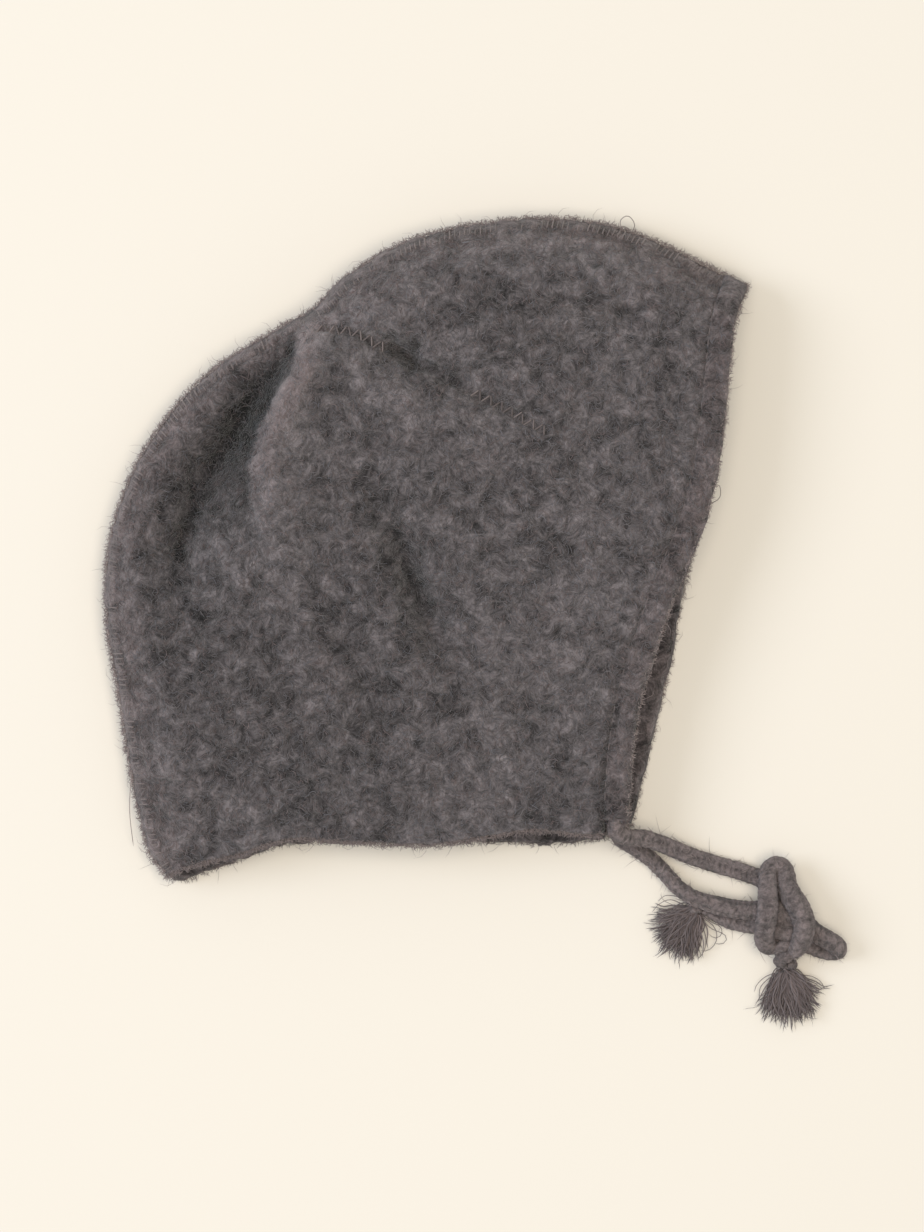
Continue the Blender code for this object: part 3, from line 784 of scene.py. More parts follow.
# the cords, along the same routes as in the model
tie = {
    "diameter": 4.3,
    "firstRun": 1.2,
    "thickness": {"near": 1.0, "far": 0.86},
    # the same in the knot, where it is pressed wide: by how far that is from the knot's middle
    "inKnot": {"near": ((4, 1.38), (12, 1.02)), "far": ((3, 1.45), (8, 1.06))},
    "taper": 8.5,                   # the length at its end over which a tie thins, and how much
    "thins": 0.55,
    "knotCentre": (40.0, -21.0, 5.0),
    "knotReach": 17.0,
    "knotFade": 5.0,
    "inHem": 5.0,                   # how far it is seen into the hem's mouth
    "headRadius": {"near": 2.5, "far": 1.75},
    "sides": 24,
    "ringStep": 0.34,
    "ribs": 1.5,                    # the length of one knitted row
    "ribHeight": 0.36,
}
nearTie = [
    (-1.9, -1.3, 12.3), (0.3, -2.1, 10.5), (3.8, -2.2, 8.2), (8.25, -3.6, 5.9), (12.75, -5.5, 4.2),
    (17.5, -7.4, 2.9), (22.0, -8.9, 2.3), (27.0, -10.3, 2.3), (31.0, -11.6, 2.7), (34.5, -12.9, 3.8),
    (37.4, -14.2, 4.2), (39.8, -16.4, 3.2), (40.8, -19.3, 1.9), (40.7, -22.6, 1.9), (39.6, -25.8, 1.9),
    (38.0, -28.3, 2.2), (35.9, -29.2, 4.4), (34.4, -27.8, 7.4), (34.5, -24.6, 9.5), (35.0, -20.9, 9.9),
    (35.2, -17.2, 9.5), (35.2, -13.8, 8.7), (35.2, -11.4, 7.5), (35.85, -9.75, 6.9), (37.4, -9.1, 6.5),
    (38.95, -9.75, 6.4), (39.6, -11.5, 6.8), (40.0, -14.4, 8.1), (41.2, -17.0, 9.2), (42.7, -19.4, 9.8),
    (43.9, -22.2, 10.0), (44.2, -25.1, 9.9), (43.5, -27.9, 9.5), (42.3, -30.2, 7.9), (41.0, -31.4, 5.2),
]
farTie = [
    (-1.4, -2.7, 2.3), (1.0, -4.3, 2.3), (4.0, -6.2, 2.3), (7.0, -8.5, 2.4), (10.0, -11.6, 3.2),
    (12.8, -14.6, 4.6), (15.9, -16.8, 5.7), (19.75, -18.3, 5.8), (24.0, -19.5, 5.4), (28.25, -20.3, 5.2),
    (32.0, -20.5, 5.5), (35.5, -20.3, 5.9), (39.0, -20.6, 5.9), (42.2, -22.1, 5.9), (45.2, -24.4, 5.9),
    (48.0, -26.4, 6.0), (50.7, -28.0, 6.1), (52.4, -29.2, 5.6), (53.0, -30.1, 4.1), (52.3, -30.8, 2.5),
    (50.6, -30.8, 1.9), (48.4, -30.2, 1.9), (46.0, -29.2, 2.2), (43.6, -27.9, 3.7), (40.9, -26.1, 5.7),
    (37.5, -24.7, 5.9), (34.3, -24.2, 4.9), (31.2, -24.1, 3.2), (27.9, -23.5, 2.1), (24.6, -22.6, 1.85),
    (21.8, -21.5, 1.85),
]
headPlaces = {"near": (39.9, -33.4, 2.7), "far": (17.6, -19.9, 1.95)}
corner = np.array([*sideLine(nearFace)[0], 0])


def tieRoute(side, route):
    # out of the hem's mouth, along the route, and into the knot at its end
    mouth, inside = hems[side][:2]
    way = unit(mouth - inside)
    start = mouth + way * cloth["gap"]
    straight = [start + way * far for far in (-tie["inHem"], 0, tie["firstRun"], 2 * tie["firstRun"])]
    middle = np.array(route) + corner
    head = np.array(headPlaces[side]) + corner
    end = head + unit(middle[-1] - head) * tie["headRadius"][side] * 0.4
    line = smoothLine(np.vstack([straight, middle, end]), 900)
    long = lengthsTo(line)[-1]
    return evenly(line, int(long / tie["ringStep"])), long, start


def makeTie(side, route):
    # a knitted cord: its radius swells in rows that lean round it
    path, long, start = tieRoute(side, route)
    knot = np.array(tie["knotCentre"]) + corner
    away = np.linalg.norm(path - knot, axis=1)
    free = np.clip((away - tie["knotReach"]) / tie["knotFade"], 0, 1)
    pressed = np.interp(away, *zip(*tie["inKnot"][side]))
    share = tie["thickness"][side] * free + pressed * (1 - free)
    along = np.linspace(0, long, len(path))[:, None]
    left = ((long - along[:, 0]) / tie["taper"]).clip(0, 1)
    base = (tie["diameter"] / 2 * share * (1 - tie["thins"] * (1 - left)))[:, None]
    angle = turns(tie["sides"])[None, :]
    lean = np.abs(np.sin(angle * 2)) * 1.5
    rows = np.abs(np.sin(math.pi * along / tie["ribs"] + lean)) * 0.5 + np.abs(np.cos(angle * 2)) * 0.5
    wander = lumps(along + 0 * angle, angle * 2.1 + 0 * along, 1.3, 21)
    radius = base + tie["ribHeight"] * (rows - 0.5) + 0.09 * wander
    # tone: painted shade in the grooves between the knitted rows and a painted highlight on the rows
    tone = (radius / base - 1) * 8
    piece = tube(side + "_tie_cord", path, radius, tone, cordMade, "wool_cord", side + "_tie")
    return piece, path, long, start


ties = {side: makeTie(side, route) for side, route in (("near", nearTie), ("far", farTie))}
print("cords made:", ", ".join(f"{side} {made[2]:.0f} mm" for side, made in ties.items()))


# the tassels: a knot wound in the cord's end, and its yarns let loose; where there are two values, the near
# tassel's comes first
tassel = {
    "length": 14.8,
    "yarns": 380,
    "locks": 22,
    "yarnRadius": 0.20,
    "steps": 13,
    "lockSpread": (0.45, 0.075, 0.66),          # of the locks, of the yarns in one, and the most in all
    "wispShare": 0.06,
    "curl": (0.25, 1.5),            # of a yarn and of a wisp
    "wave": 0.28,
    "piled": 3.8,                   # the height that the upper yarns keep
    "rootBelow": (2.4, 1.2),        # how far below the end of the tie the yarns come out of the knot
    "headAbove": (2.0, 0.3),        # and how far above it the knot's middle is
    "windings": 2.2,
    "windRadius": (1.60, 0.85),
    "strandRadius": (1.55, 1.05),
    "strandSides": 18,
    "lifted": (2.8, 0.2),
    "pitch": 2.9,
}
wisps = {
    "near": [
        [(93.5, -108.5), (97.2, -111.1), (99.6, -110.2), (102.3, -109.6)],
        [(93.0, -107.5), (97.0, -109.0), (99.0, -110.4), (101.4, -110.6)],
        [(92.0, -107.0), (96.0, -107.3), (98.6, -108.6), (100.0, -110.8)],
        [(87.5, -107.0), (85.3, -108.3), (83.6, -110.4), (83.4, -113.5)],
        [(87.5, -106.5), (84.8, -107.6), (82.8, -109.6), (82.2, -111.5)],
    ],
    "far": [
        [(68.5, -91.5), (71.0, -93.6), (73.6, -95.0), (73.9, -97.0), (72.2, -97.9), (70.6, -96.8)],
        [(67.5, -92.0), (69.3, -95.6), (70.0, -98.6), (69.3, -101.6), (67.6, -103.6)],
        [(68.0, -92.0), (71.0, -95.2), (74.4, -96.8), (75.2, -98.2), (74.0, -99.4), (72.0, -99.2)],
        [(67.0, -92.5), (68.6, -96.8), (68.4, -100.0), (66.4, -103.0), (64.6, -103.6)],
        [(67.5, -91.5), (72.0, -95.0), (72.6, -98.6), (70.6, -101.0), (68.6, -101.0)],
        [(65.0, -88.8), (63.0, -87.5), (59.8, -87.2), (57.8, -88.9)],
        [(64.5, -89.5), (61.0, -88.2), (58.2, -89.4), (56.4, -91.6)],
    ],
}
fans = {
    "near": {"heading": -82, "spread": 58, "flare": 95, "length": 0.99, "seed": 5},
    "far": {"heading": -124, "spread": 62, "flare": 90, "length": 0.92, "seed": 6},
}


def makeHead(side, index):
    # the wound knot: a cord carried along a short helix round the way that the tassel points
    toward = math.radians(fans[side]["heading"])
    axis = np.array([math.cos(toward), math.sin(toward), 0])
    out = np.array([-axis[1], axis[0], 0])
    head = np.array(headPlaces[side]) + corner - tassel["headAbove"][index] * axis
    turn = np.linspace(-1.0, 1.0, 90) * tassel["windings"] * math.pi
    share = np.abs(turn) / turn.max()
    reach = tassel["windRadius"][index] * np.clip((1.08 - share) * 4, 0, 1)
    path = head + (0, 0, tassel["lifted"][index]) + np.outer(turn / (2 * math.pi) * tassel["pitch"], axis)
    path = path + reach[:, None] * (np.outer(np.cos(turn), out) + np.outer(np.sin(turn), (0, 0, 1)))
    twist = 0.07 * np.sin(turn[:, None] * 7 + turns(tassel["strandSides"])[None, :] * 3)
    radius = tassel["strandRadius"][index] * np.clip((1.04 - share) * 5, 0.25, 1)[:, None] * (1 + twist)
    groove = np.sin(np.linspace(0, 44, radius.size)) * 0.1
    return tube(side + "_tassel_knot", path, radius, groove, cordMade, "wool_fringe")


def makeYarns(side, index):
    # a brush of yarns: each leaves the knot at share (spread + flare e^(-6t)) from the tassel's heading
    fan = fans[side]
    rng = np.random.default_rng(fan["seed"])
    count = tassel["yarns"]
    toward = math.radians(fan["heading"])
    head = np.array(headPlaces[side]) + corner
    head[:2] += tassel["rootBelow"][index] * np.array([math.cos(toward), math.sin(toward)])
    t = np.linspace(0, 1, tassel["steps"])[None, :]
    lock = rng.uniform(-1, 1, tassel["locks"])
    which = rng.integers(0, len(lock), count)
    lockShare, loose, most = tassel["lockSpread"]
    share = (lock[which] * lockShare + rng.normal(0, loose, count)).clip(-most, most)
    wisp = rng.random(count) < tassel["wispShare"]
    long = tassel["length"] * fan["length"] * rng.uniform(0.72, 1.0, count) * np.where(wisp, 1.06, 1)
    long *= (1 - 0.42 * np.abs(share) ** 1.5) * (1 + 0.10 * np.sin(which * 4.7))
    bend = np.radians(share[:, None] * (fan["spread"] + fan["flare"] * np.exp(-6 * t)))
    curl = rng.uniform(-1, 1, count) * np.where(wisp, *tassel["curl"][::-1]) + np.sin(which * 2.3) * 0.75
    wave = np.sin(rng.uniform(7, 14, count)[:, None] * t + rng.uniform(0, 6.3, count)[:, None])
    angle = toward + bend + curl[:, None] * t**1.5 + tassel["wave"] * wave
    stride = long[:, None] / (tassel["steps"] - 1)
    root = rng.normal(0, 0.8, (count, 2)).clip(-1.5, 1.5)
    x = head[0] + root[:, :1] + np.cumsum(np.cos(angle) * stride, axis=1) - np.cos(angle) * stride
    y = head[1] + root[:, 1:] + np.cumsum(np.sin(angle) * stride, axis=1) - np.sin(angle) * stride
    start = head[2] + rng.uniform(-1.5, 0.8, count)[:, None] * tassel["strandRadius"][index]
    rest = 0.3 + rng.uniform(0, 1, count)[:, None] ** 1.2 * tassel["piled"] * (1 - share[:, None] ** 2)
    z = start + (rest - start) * (t * t * (3 - 2 * t)) + 0.7 * np.sin(math.pi * t) + 0.15 * wave * t
    radius = tassel["yarnRadius"] * rng.uniform(0.6, 1.25, count)[:, None] * (1 - 0.55 * t**2.5)
    radius = np.where(wisp[:, None], radius * 0.6, radius)
    paths = np.stack([x, y, np.maximum(z, radius + 0.04)], axis=2)
    shades = np.sin(which * 5.1) * 0.26 + 0.42 + rng.normal(0, 0.13, count) + 0.05 * (rest[:, 0] - 2)
    name, node = side + "_tassel_yarns", side + "_tassel"
    return strands(name, paths, radius, 3, shades.clip(0, 1), fringeMade, "wool_fringe", node)


def makeWisps(side):
    # single curly yarns that stray from the tassel, each by its points on the floor's plane
    lines = np.array([smoothLine(points, 12) for points in wisps[side]])
    along = np.linspace(0, 1, 12)[None, :]
    z = 2.4 - 2.0 * along + 0.8 * np.sin(math.pi * along) + 0 * lines[..., 0]
    radius = np.full(z.shape, 0.13) * (1 - 0.5 * along)
    shades = np.linspace(0.25, 0.6, len(lines))
    paths = np.dstack([lines, z])
    return strands(side + "_tassel_wisps", paths, radius, 5, shades, fringeMade, "wool_fringe")


tassels = {
    side: [makeHead(side, index), makeYarns(side, index), makeWisps(side)]
    for index, side in enumerate(("near", "far"))
}
for side, (piece, path, long, start) in ties.items():
    start * mm
    long * mm
    path * mm
print("tassels made")


# the panels
panelRings = {"near": 92, "far": 50}


def spreadOver(outline, a, b):
    # where a point of the unit square lies in the outline: squares round the middle become rings
    ring = np.maximum(np.abs(a), np.abs(b))
    u = np.divide(a, ring, out=np.ones_like(a), where=ring > 0)
    v = np.divide(b, ring, out=np.zeros_like(b), where=ring > 0)
    onFace = u >= 1 - 1e-6
    onCrown = (v >= 1 - 1e-6) & ~onFace
    onBack = (u <= -1 + 1e-6) & ~onCrown
    share = np.select([onFace, onCrown, onBack], [(v + 1) / 2, (1 - u) / 2, (1 - v) / 2], (u + 1) / 2)
    steps = np.linspace(0, 1, 320)
    rim = []
    for axis in (0, 1):
        values = [np.interp(share, steps, outline[key][:, axis]) for key in ("face", "crown", "back", "neck")]
        rim.append(np.select([onFace, onCrown, onBack], values[:3], values[3]))
    centre = np.array(cloth["centre"]) * half
    reach = 1 - (1 - ring) ** 1.35
    onSeam = (ring >= 1 - 1e-6) & ((v >= 1 - 1e-6) | (u <= -1 + 1e-6))
    return centre[0] + reach * (rim[0] - centre[0]), centre[1] + reach * (rim[1] - centre[1]), onSeam


def makePanel(side, outline, smooth, extra, turned):
    # the outer face z = smooth(x, y) + relief, the inner one a felt's thickness along the normal below it
    count = 2 * panelRings[side] + 1
    line = np.linspace(-1, 1, count)
    x, y, onSeam = spreadOver(outline, *np.meshgrid(line, line, indexing="ij"))
    z = np.where(onSeam, seamZ, smooth(x, y))
    stride = 0.12
    centre = np.array(cloth["centre"]) * half
    pull = 3 * stride / (np.hypot(centre[0] - x, centre[1] - y) + stride)
    inX, inY = x + pull * (centre[0] - x), y + pull * (centre[1] - y)
    slopeX = (smooth(inX + stride, inY) - smooth(inX - stride, inY)) / (2 * stride)
    slopeY = (smooth(inX, inY + stride) - smooth(inX, inY - stride)) / (2 * stride)
    normal = turned * np.stack([-slopeX, -slopeY, np.ones_like(x)], axis=-1)
    normal[onSeam, 2] = 0
    normal = unit(normal)
    steep = normal[..., 2] ** 2 < 0.6
    outer = np.stack([x, y, z], axis=-1)
    inner = outer - (cloth["felt"] - lumps(x, y, 3.0, 9) * 0.15)[..., None] * normal
    lifted = np.abs(z - seamZ)
    proud = extra(x, y) * np.where(onSeam, 0, np.clip(0.35 + lifted / 3, 0, 1))
    proud = proud + steep * (0.28 * lumps(x, y, 1.7, 23) - 0.5 * np.exp(-(lifted**2)))
    outer = outer + proud[..., None] * normal
    outer[..., 2] = np.maximum(outer[..., 2], 0.02)
    # round the rim, between the two faces, three rows that bulge where it isn't sewn
    place = np.arange(count * count).reshape(count, count)
    edge = np.concatenate([place[0, :-1], place[:-1, -1], place[-1, :0:-1], place[:0:-1, 0]])
    rimOut, rimIn = outer.reshape(-1, 3)[edge], inner.reshape(-1, 3)[edge]
    way = np.gradient(np.vstack([rimOut[-1:], rimOut, rimOut[:1]]), axis=0)[1:-1]
    bulge = unit(np.cross(way, rimIn - rimOut), 1e-9)
    bulge *= np.sign((bulge[:, :2] * (rimOut[:, :2] - centre)).sum(axis=1))[:, None]
    seamed = onSeam.reshape(-1)[edge]
    swell = np.where(seamed, 0, 0.75 + 0.525 * lumps(rimOut[:, 0], rimOut[:, 1], 1.7, 24))[:, None] * bulge
    rims = [rimOut + k * (rimIn - rimOut) + math.sin(math.pi * k) * swell for k in (0.2, 0.5, 0.8)]
    many, around = count * count, len(edge)
    points = np.vstack([outer.reshape(-1, 3), inner.reshape(-1, 3), *rims])
    loops = [edge, *(2 * many + around * k + np.arange(around) for k in range(3)), many + edge]
    walls = [
        np.stack([two, np.roll(two, -1), np.roll(one, -1), one], axis=1) for one, two in zip(loops, loops[1:])
    ]
    top = gridFaces(count, count)
    quads = np.vstack([top, top[:, ::-1] + many, *walls])[:, ::turned]
    # tone: on the near panel its painted shade, highlight and flecks; on the far panel a painted highlight
    # towards its rim; on the rim's wall a painted highlight where sewn, darker on the cut edges, and a little
    # darker on the inner face
    tone = readMap(shadeAndToneMap, x, y) if side == "near" else 1.3 * np.exp(-(readMap(rimAway, x, y) / 3))
    edgeTone = np.tile(np.where(seamed, 0.4, -0.35) + tone.ravel()[edge] * 0.6, 3)
    warm = readMap(warmMap, x, y).ravel()
    looks = {
        "tone": np.concatenate([tone.ravel(), np.full(many, -0.1), edgeTone]),
        "warm": np.concatenate([warm, np.full(many, 0.3), np.full(3 * around, 0.7)]),
    }
    piece = makePiece(side + "_panel_felt", points, quads, attributes=looks)
    finishPiece(piece, feltMade, "wool_felt", side + "_panel")
    ringX, ringY = x.ravel()[edge] * mm, y.ravel()[edge] * mm
    flat = float(abs((ringX * np.roll(ringY, -1) - np.roll(ringX, -1) * ringY).sum()) / 2)


def farRelief(x, y):
    return feltLumps(x, y, 13, 0.6)


def makeSeamCore():
    # the wool pressed together inside the seam, from the top corner to the nape: a plain round tube
    line = sideLine(seamShares, 260)
    line = (line + 1.5 * leftOf(line))[1:-1]
    radius = np.full((len(line), 8), 1.25)
    path = np.column_stack([line, np.full(len(line), seamZ)])
    tube("seam_core", path, radius, np.full(radius.size, 0.3), feltMade, "wool_felt")


makePanel("near", nearOutline, nearSmooth, relief, 1)
makePanel("far", farOutline, farSmooth, farRelief, -1)
makeSeamCore()
print("panels made")


# the hems: the felt folded over into a tunnel, open at its mouth
def makeHem(side):
    # a rounded section carried along the edge, from inside the mouth to the top corner, where it is cut
    # along the crown's edge: each of its long lines has its own length
    path = hems[side]
    sides, rings = hemShape["sides"], hemShape["rings"]
    way = unit(np.gradient(path, axis=0))
    across = unit(np.cross(way, (0, 0, 1)))
    over = np.cross(across, way)
    cosine, sine = np.cos(turns(sides)), np.sin(turns(sides))
    power = np.where(cosine > 0, hemShape["roundOut"], hemShape["roundIn"])
    a, b = (
        np.sign(part) * np.abs(part) ** power * np.where(part > 0, hemShape[plus], hemShape[minus])
        for part, plus, minus in ((cosine, "out", "in"), (sine, "up", "down"))
    )
    crown = sideLine(seamShares)[:8]
    out = np.array([crown[0, 1] - crown[-1, 1], crown[-1, 0] - crown[0, 0]])
    out /= -np.linalg.norm(out) * np.sign(out @ path[0, :2] - out @ crown[0])
    slant = way[-1, :2] @ out
    long = lengthsTo(path)[-1]
    reach = long - 0.35 + (crown[0] - path[-1, :2]) @ out / slant - a * (across[-1, :2] @ out) / slant
    place = np.append(np.linspace(0, long, len(path)), long + 12)
    goal = np.linspace(0, 1, rings)[:, None] * reach[None, :]
    middle, aside, above = (
        np.stack([np.interp(goal, place, column) for column in np.vstack([line, last]).T], axis=-1)
        for line, last in ((path, path[-1] + way[-1] * 12), (across, across[-1]), (over, over[-1]))
    )
    keep = hemShape["down"] if side == "near" else -hemShape["up"]
    height = (b[None, :] + keep) * closing(reach[None, :] - goal) - keep
    wool = middle + a[None, :, None] * aside + height[..., None] * above
    outward = unit(a[None, :, None] / 3 * aside + b[None, :, None] / 2.3 * above)
    proud = feltLumps(wool[..., 0], wool[..., 1] + wool[..., 2] * (np.abs(b) < 1.5), 3, 0.9)
    wool = wool + (proud * np.clip((reach[None, :] - goal) / 3, 0.2, 1))[..., None] * outward
    holeA, holeB = cosine * hemShape["hole"][0], sine * hemShape["hole"][1]
    inner = [
        path[0] + way[0] * deep + np.outer(holeA, across[0]) + np.outer(holeB, over[0])
        for deep in hemShape["holeDepths"]
    ]
    lip = path[0] - way[0] * hemShape["lip"]
    inner.append(lip + np.outer((a + holeA) / 2, across[0]) + np.outer((b + holeB) / 2, over[0]))
    rows = np.concatenate([inner, wool])
    rows[..., 2] = np.maximum(rows[..., 2], 0.02)
    total = len(rows) * sides
    points = np.vstack([rows.reshape(-1, 3), rows[0].mean(axis=0), rows[-1].mean(axis=0)])
    quads = gridFaces(len(rows), sides, ring=True)[:, ::-1]
    caps = np.vstack([capFaces(total, 0, sides), capFaces(total + 1, total - sides, sides, True)])
    upper = np.append(np.tile(b > 0, len(rows)), [False, False])
    # tone: the near hem's upper side takes the felt's painted shade, highlight and flecks
    tone = np.full(len(points), -0.2)
    if side == "near":
        tone = np.where(upper, readMap(shadeAndToneMap, points[:, 0], points[:, 1]), 0.1)
    # painted shade inside the hem's mouth
    tone[: len(inner) * sides] = -0.8
    looks = {"tone": tone - 0.15, "warm": np.full(len(points), 0.6)}
    piece = makePiece(side + "_hem_felt", points, quads, caps, looks)
    finishPiece(piece, feltMade, "wool_hem", side + "_face_hem")


for side in ("near", "far"):
    makeHem(side)
print("hems made")


# the stitches
stitch = {
    "seam": {
        "count": 211, "from": 0.5, "to": 3.3, "wander": 0.35, "lean": 0.4, "radius": 0.20, "lift": 0.20,
        "sink": 0.0,
    },
    "dart": {
        "every": 1.45, "half": 1.3, "wander": 0.3, "lean": 0.45, "radius": 0.19, "lift": 0.60, "sink": 0.1,
    },
    "hem": {"every": 3.0, "long": 2.0, "radius": 0.19, "lift": 0.18, "sink": 0.0},
    "dartShown": ((0.0, 0.27), (0.66, 1.0)),    # the shares of the dart where its stitches are on top
}


def arches(name, starts, ends, shades, slot="wool_felt"):
    # short threads over the cloth: straight on the map, and z = cloth + lift (1 - (2t - 1)^2) - sink
    look = stitch[name]
    t = np.linspace(0, 1, 7)[None, :, None]
    flat = starts[:, None] * (1 - t) + ends[:, None] * t
    z = nearTop(flat[..., 0], flat[..., 1]) + look["lift"] * (1 - (2 * t[..., 0] - 1) ** 2) - look["sink"]
    paths, radius = np.concatenate([flat, z[..., None]], axis=2), np.full(z.shape, look["radius"])
    strands(name + "_stitches", paths, radius, 5, shades, threadMade, slot)


def seamStitches():
    look = stitch["seam"]
    seam = evenly(seamLine(nearOutline), look["count"])
    left = leftOf(seam)
    rng = np.random.default_rng(31)
    wander = rng.uniform(-look["wander"], look["wander"], (len(seam), 2))
    starts = seam + (look["from"] + wander[:, :1]) * left
    ends = seam + (look["to"] + wander[:, 1:]) * left + look["lean"] * np.gradient(seam, axis=0)
    arches("seam", starts, ends, rng.uniform(0.35, 1.0, len(seam)))


def dartStitches():
    # a ladder of small stitches, every other one leaning the other way
    look = stitch["dart"]
    line = evenly(dartLine, int(lengthsTo(dartLine)[-1] / look["every"]))
    left, way = leftOf(line), np.gradient(line, axis=0)
    rng = np.random.default_rng(32)
    wander = rng.uniform(-look["wander"], look["wander"], (len(line), 1))
    lean = (look["lean"] * (-1) ** np.arange(len(line)))[:, None] * way
    starts = line + (wander - look["half"]) * left - lean
    ends = line + (wander + look["half"]) * left + lean
    shades = rng.uniform(0.3, 1.0, len(line))
    place = np.linspace(0, 1, len(line))
    shown = np.any([(place >= low) & (place <= high) for low, high in stitch["dartShown"]], axis=0)
    arches("dart", starts[shown], ends[shown], shades[shown])


def hemStitches():
    look = stitch["hem"]
    edge = sideLine(nearFace)
    line = (edge + (cloth["hemWidth"] + 0.1) * leftOf(edge))[8:-10]
    line = evenly(line, int(lengthsTo(line)[-1] / look["every"]))
    shades = np.random.default_rng(33).uniform(0.1, 0.6, len(line))
    arches("hem", line, line + unit(np.gradient(line, axis=0)) * look["long"], shades, "wool_hem")


seamStitches()
dartStitches()
hemStitches()
print("stitches made")


# the fuzz
fuzz = {
    "perPiece": 8500,
    "length": (1.1, 3.4),
    "radius": ((0.08, 0.15), (0.06, 0.12), (0.06, 0.13)),
    "share": ((0.6, 0.6), (0.9, 0.3), (0.25, 0.9)),     # how likely each lot is on cool and on warm felt
    "curl": 3.0,
    "lift": 0.35,
    "rimLines": (                   # the outline's lines and how finely each is read
        (seamShares, 1600), (nearNeck, 620), (nearFace, 560), (farNeck, 300), (farFace, 400),
    ),
    "rimHairs": 12600,
    "rimLength": (0.6, 1.7),
    "rimRadius": (0.07, 0.13),
    "longRimHairs": 260,
    "longRimLength": (1.8, 5.0),
    "longRimRadius": 0.055,
    "rimBends": (1.05, 1.1),        # how far they lean and how far they turn, in radians
    "cordHairs": 1250,
    "cordLength": (1.2, 3.6),
    "cordRadius": (0.05, 0.10),
    "strays": [                     # single long hairs, each by its points on the floor's plane
        [(-73.5, -55.5), (-74.2, -60.5), (-74.4, -66.8), (-73.7, -75.0)],
        [(49.0, 78.5), (48.2, 81.5), (50.2, 83.0), (52.0, 81.0), (51.0, 78.5)],
        [(69.5, 14.5), (72.5, 15.5), (73.0, 12.5), (70.8, 11.0)],
    ],
    "strayShades": (0.5, 0.2, 0.3),
}


def lyingFuzz(index):
    # curly fibres lying on the felt: the heading turns steadily as each runs, and its ends dip in
    rng = np.random.default_rng(60 + index)
    x = rng.uniform(-82, 81, fuzz["perPiece"] * 6)
    y = rng.uniform(-84, 84, fuzz["perPiece"] * 6)
    chance = np.interp(readMap(warmMap, x, y), [0, 1], fuzz["share"][index])
    kept = (readMap(insideMap, x, y) > 0.7) & (rng.random(len(x)) < chance)
    kept = np.flatnonzero(kept)[: fuzz["perPiece"]]
    x, y = x[kept, None], y[kept, None]
    count = len(x)
    t = np.linspace(0, 1, 5)[None, :]
    long = rng.uniform(*fuzz["length"], count)[:, None]
    heading = rng.uniform(0, 2 * math.pi, count)[:, None]
    heading = heading + rng.normal(0, fuzz["curl"], count)[:, None] * t
    stepX = np.cumsum(np.cos(heading) * long / 4, axis=1) - long / 2 * np.cos(heading[:, :1])
    stepY = np.cumsum(np.sin(heading) * long / 4, axis=1) - long / 2 * np.sin(heading[:, :1])
    lift = rng.uniform(0.0, fuzz["lift"], count)[:, None] * 4 * t * (1 - t)
    crosses = readMap(insideMap, x + stepX, y + stepY).min(axis=1, keepdims=True) < 0.5
    shrink = np.where(crosses, 0.4, 1)
    px, py = x + stepX * shrink, y + stepY * shrink
    pz = nearTop(px, py) + lift - 0.04
    # over the outline they keep to the height of their middle, and follow the cloth down at the seamed rim
    middle, drop = nearTop(x, y), np.where(readMap(rimAway, x, y) > 3, 0.3, 3.0)
    pz = np.where(crosses, np.clip(pz, np.maximum(middle - drop, 1.0), middle + 0.2), pz)
    radius = rng.uniform(*fuzz["radius"][index], count)[:, None] * (1 - 0.5 * np.abs(2 * t - 1))
    # the fibres' shades follow the felt's tone map, so they carry its painted shade and highlight as well as
    # its flecks
    shades = 0.40 + 0.31 * readMap(shadeAndToneMap, x, y)[:, 0] + rng.normal(0, 0.15, count)
    name, material = f"felt_fibres_{index}", hairsMade[f"feltFibres{index}"]
    strands(name, np.stack([px, py, pz], axis=2), radius, 3, shades.clip(0, 1), material, "wool_felt")


def rimFuzz():
    # hairs that stand out of the outline: a dense pelt of short ones, and a few long ones that bend
    rng = np.random.default_rng(44)
    lines = [sideLine(line, many) for line, many in fuzz["rimLines"]]
    edge, left = np.vstack(lines), np.vstack([leftOf(line) for line in lines])
    count = fuzz["rimHairs"] + fuzz["longRimHairs"]
    few = np.arange(count) >= fuzz["rimHairs"]
    pick = rng.integers(0, len(edge), count)
    part = np.repeat(np.arange(len(lines)), [len(line) for line in lines])[pick]
    onNear, onNeck = part < 3, np.isin(part, (1, 3))
    deep = rng.uniform(-0.1, 0.9, count) - 0.7 * onNeck
    root = edge[pick] + left[pick] * deep[:, None]
    out = -left[pick]
    lean = rng.normal(0, fuzz["rimBends"][0], count)
    cosine, sine = np.cos(lean), np.sin(lean)
    way = np.stack([out[:, 0] * cosine - out[:, 1] * sine, out[:, 0] * sine + out[:, 1] * cosine], axis=1)
    t = np.linspace(0, 1, 4)[None, :]
    turn = rng.normal(0, fuzz["rimBends"][1], count)[:, None] * t
    long, short = rng.uniform(*fuzz["longRimLength"], count), rng.uniform(*fuzz["rimLength"], count)
    long = np.where(few, long, short)[:, None]
    px = root[:, :1] + long * t * (way[:, :1] * np.cos(turn) - way[:, 1:] * np.sin(turn))
    py = root[:, 1:] + long * t * (way[:, :1] * np.sin(turn) + way[:, 1:] * np.cos(turn))
    base = np.where(onNear, np.maximum(nearTop(root[:, 0], root[:, 1]), 1.5), 2.4)[:, None]
    pz = base + rng.uniform(-1.5, 0.6, count)[:, None] * t - rng.uniform(0, 0.6, count)[:, None]
    radius = np.where(few, fuzz["longRimRadius"], rng.uniform(*fuzz["rimRadius"], count))[:, None]
    radius = radius * (1 - 0.4 * t)
    shades = np.where(onNeck, rng.uniform(0, 0.45, count), rng.uniform(0.1, 1, count))
    paths = np.stack([px, py, np.maximum(pz, 0.1)], axis=2)
    strands("rim_hairs", paths, radius, 3, shades, rimMade, "wool_felt")


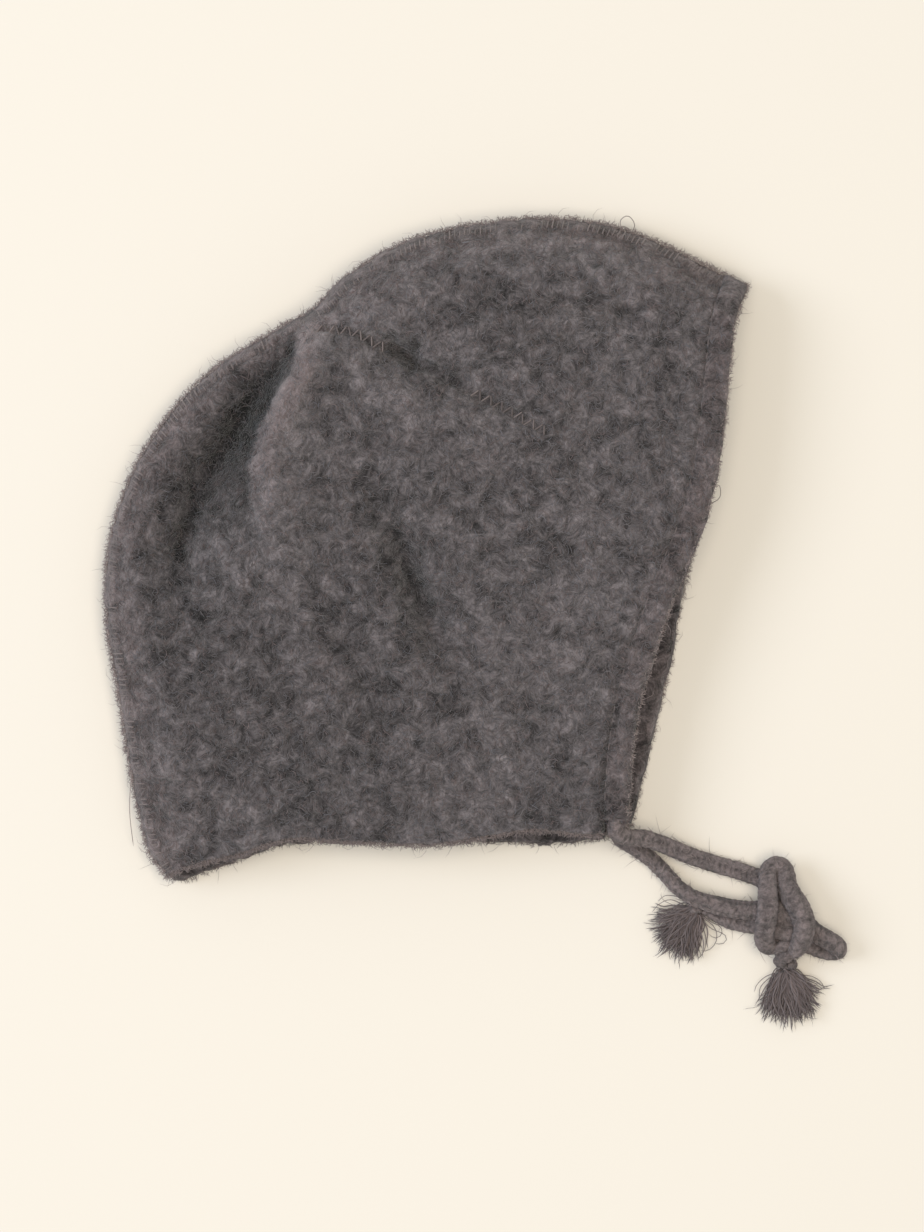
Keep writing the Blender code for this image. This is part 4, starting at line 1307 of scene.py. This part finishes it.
def strayHairs():
    lines = np.array([smoothLine(points, 14) for points in fuzz["strays"]])
    x, y = lines[..., 0], lines[..., 1]
    start = nearTop(x[:, :1], y[:, :1])
    z = start - (start - 1.5) * np.linspace(0, 1, 14)[None, :] ** 2
    z = np.where(readMap(insideMap, x, y) > 0.3, np.maximum(z, nearTop(x, y) + 0.25), z)
    radius = np.full(z.shape, 0.10)
    strands("stray_hairs", np.stack([x, y, z], axis=2), radius, 5, fuzz["strayShades"], rimMade, "wool_felt")


def cordFuzz(side):
    # hairs all round a cord: from its surface, outwards and along it
    path = ties[side][1]
    rng = np.random.default_rng(50 + len(side))
    way, across, over = carriedFrames(path)
    pick = rng.integers(14, len(path) - 2, fuzz["cordHairs"])
    count = len(pick)
    angle = rng.uniform(0, 2 * math.pi, count)[:, None]
    out = np.cos(angle) * across[pick] + np.sin(angle) * over[pick]
    t = np.linspace(0, 1, 5)[None, :, None]
    long = rng.uniform(*fuzz["cordLength"], count)[:, None, None]
    slide = rng.choice([-1, 1], count)[:, None, None] * way[pick][:, None]
    turn = rng.normal(0, 0.7, count)[:, None, None] * np.cross(out, way[pick])[:, None]
    root = path[pick][:, None] + out[:, None] * tie["diameter"] / 2 * tie["thickness"][side] * 0.88
    rise = rng.gamma(1.5, 0.16, count).clip(0.08, 0.9)[:, None, None]
    paths = root + long * t * (slide * 0.9 + turn * t)
    paths = paths + out[:, None] * rise * np.sin(math.pi * 0.62 * t) * 1.2
    paths[..., 2] = np.maximum(paths[..., 2], 0.08)
    radius = rng.uniform(*fuzz["cordRadius"], count)[:, None] * (1 - 0.5 * t[..., 0])
    strands(side + "_tie_fuzz", paths, radius, 3, rng.uniform(0, 1, count), rimMade, "wool_cord")


for index in range(len(fuzz["share"])):
    lyingFuzz(index)
rimFuzz()
strayHairs()
for side in ("near", "far"):
    cordFuzz(side)
print("fuzz made")


# the studio
studio = {
    "floor": (0.855, 0.806, 0.730, 1),
    "world": (0.90, 0.97, 1.03, 1),
    "worldStrength": 0.39,
    "above": {"place": (160, -60, 1700), "size": 1200, "power": 19.0, "colour": (1.0, 0.90, 0.75)},
    "key": {"place": (-1250, 150, 1120), "size": 980, "power": 10.2, "colour": (0.93, 1.0, 1.12)},
}


def makeFloor():
    corners = np.array([(-1, -1, 0), (1, -1, 0), (1, 1, 0), (-1, 1, 0)]) * 3000.0
    floor = makePiece("floor", corners, np.array([[0, 1, 2, 3]]))
    material, shader, _ = startMaterial("paleFloor")
    looks = {"Base Color": studio["floor"], "Roughness": 0.9, "Specular IOR Level": 0.1}
    fillSockets(material.node_tree, shader, looks)
    floor.data.materials.append(material)


def makeLight(name):
    look = studio[name]
    data = bpy.data.lights.new(name, "AREA")
    data.shape, data.size = "DISK", look["size"] * mm
    data.energy, data.color = look["power"], look["colour"]
    light = bpy.data.objects.new(name, data)
    light.location = Vector(look["place"]) * mm
    light.rotation_euler = (-Vector(look["place"])).to_track_quat("-Z", "Y").to_euler()
    bpy.context.scene.collection.objects.link(light)


def makeWorld():
    world = bpy.data.worlds.new("studio")
    world.use_nodes = True
    sky = world.node_tree.nodes["Background"]
    fillSockets(world.node_tree, sky, {"Color": studio["world"], "Strength": studio["worldStrength"]})
    bpy.context.scene.world = world


makeFloor()
makeLight("above")
makeLight("key")
makeWorld()
bpy.context.scene.view_settings.view_transform = "Standard"
print("studio made")
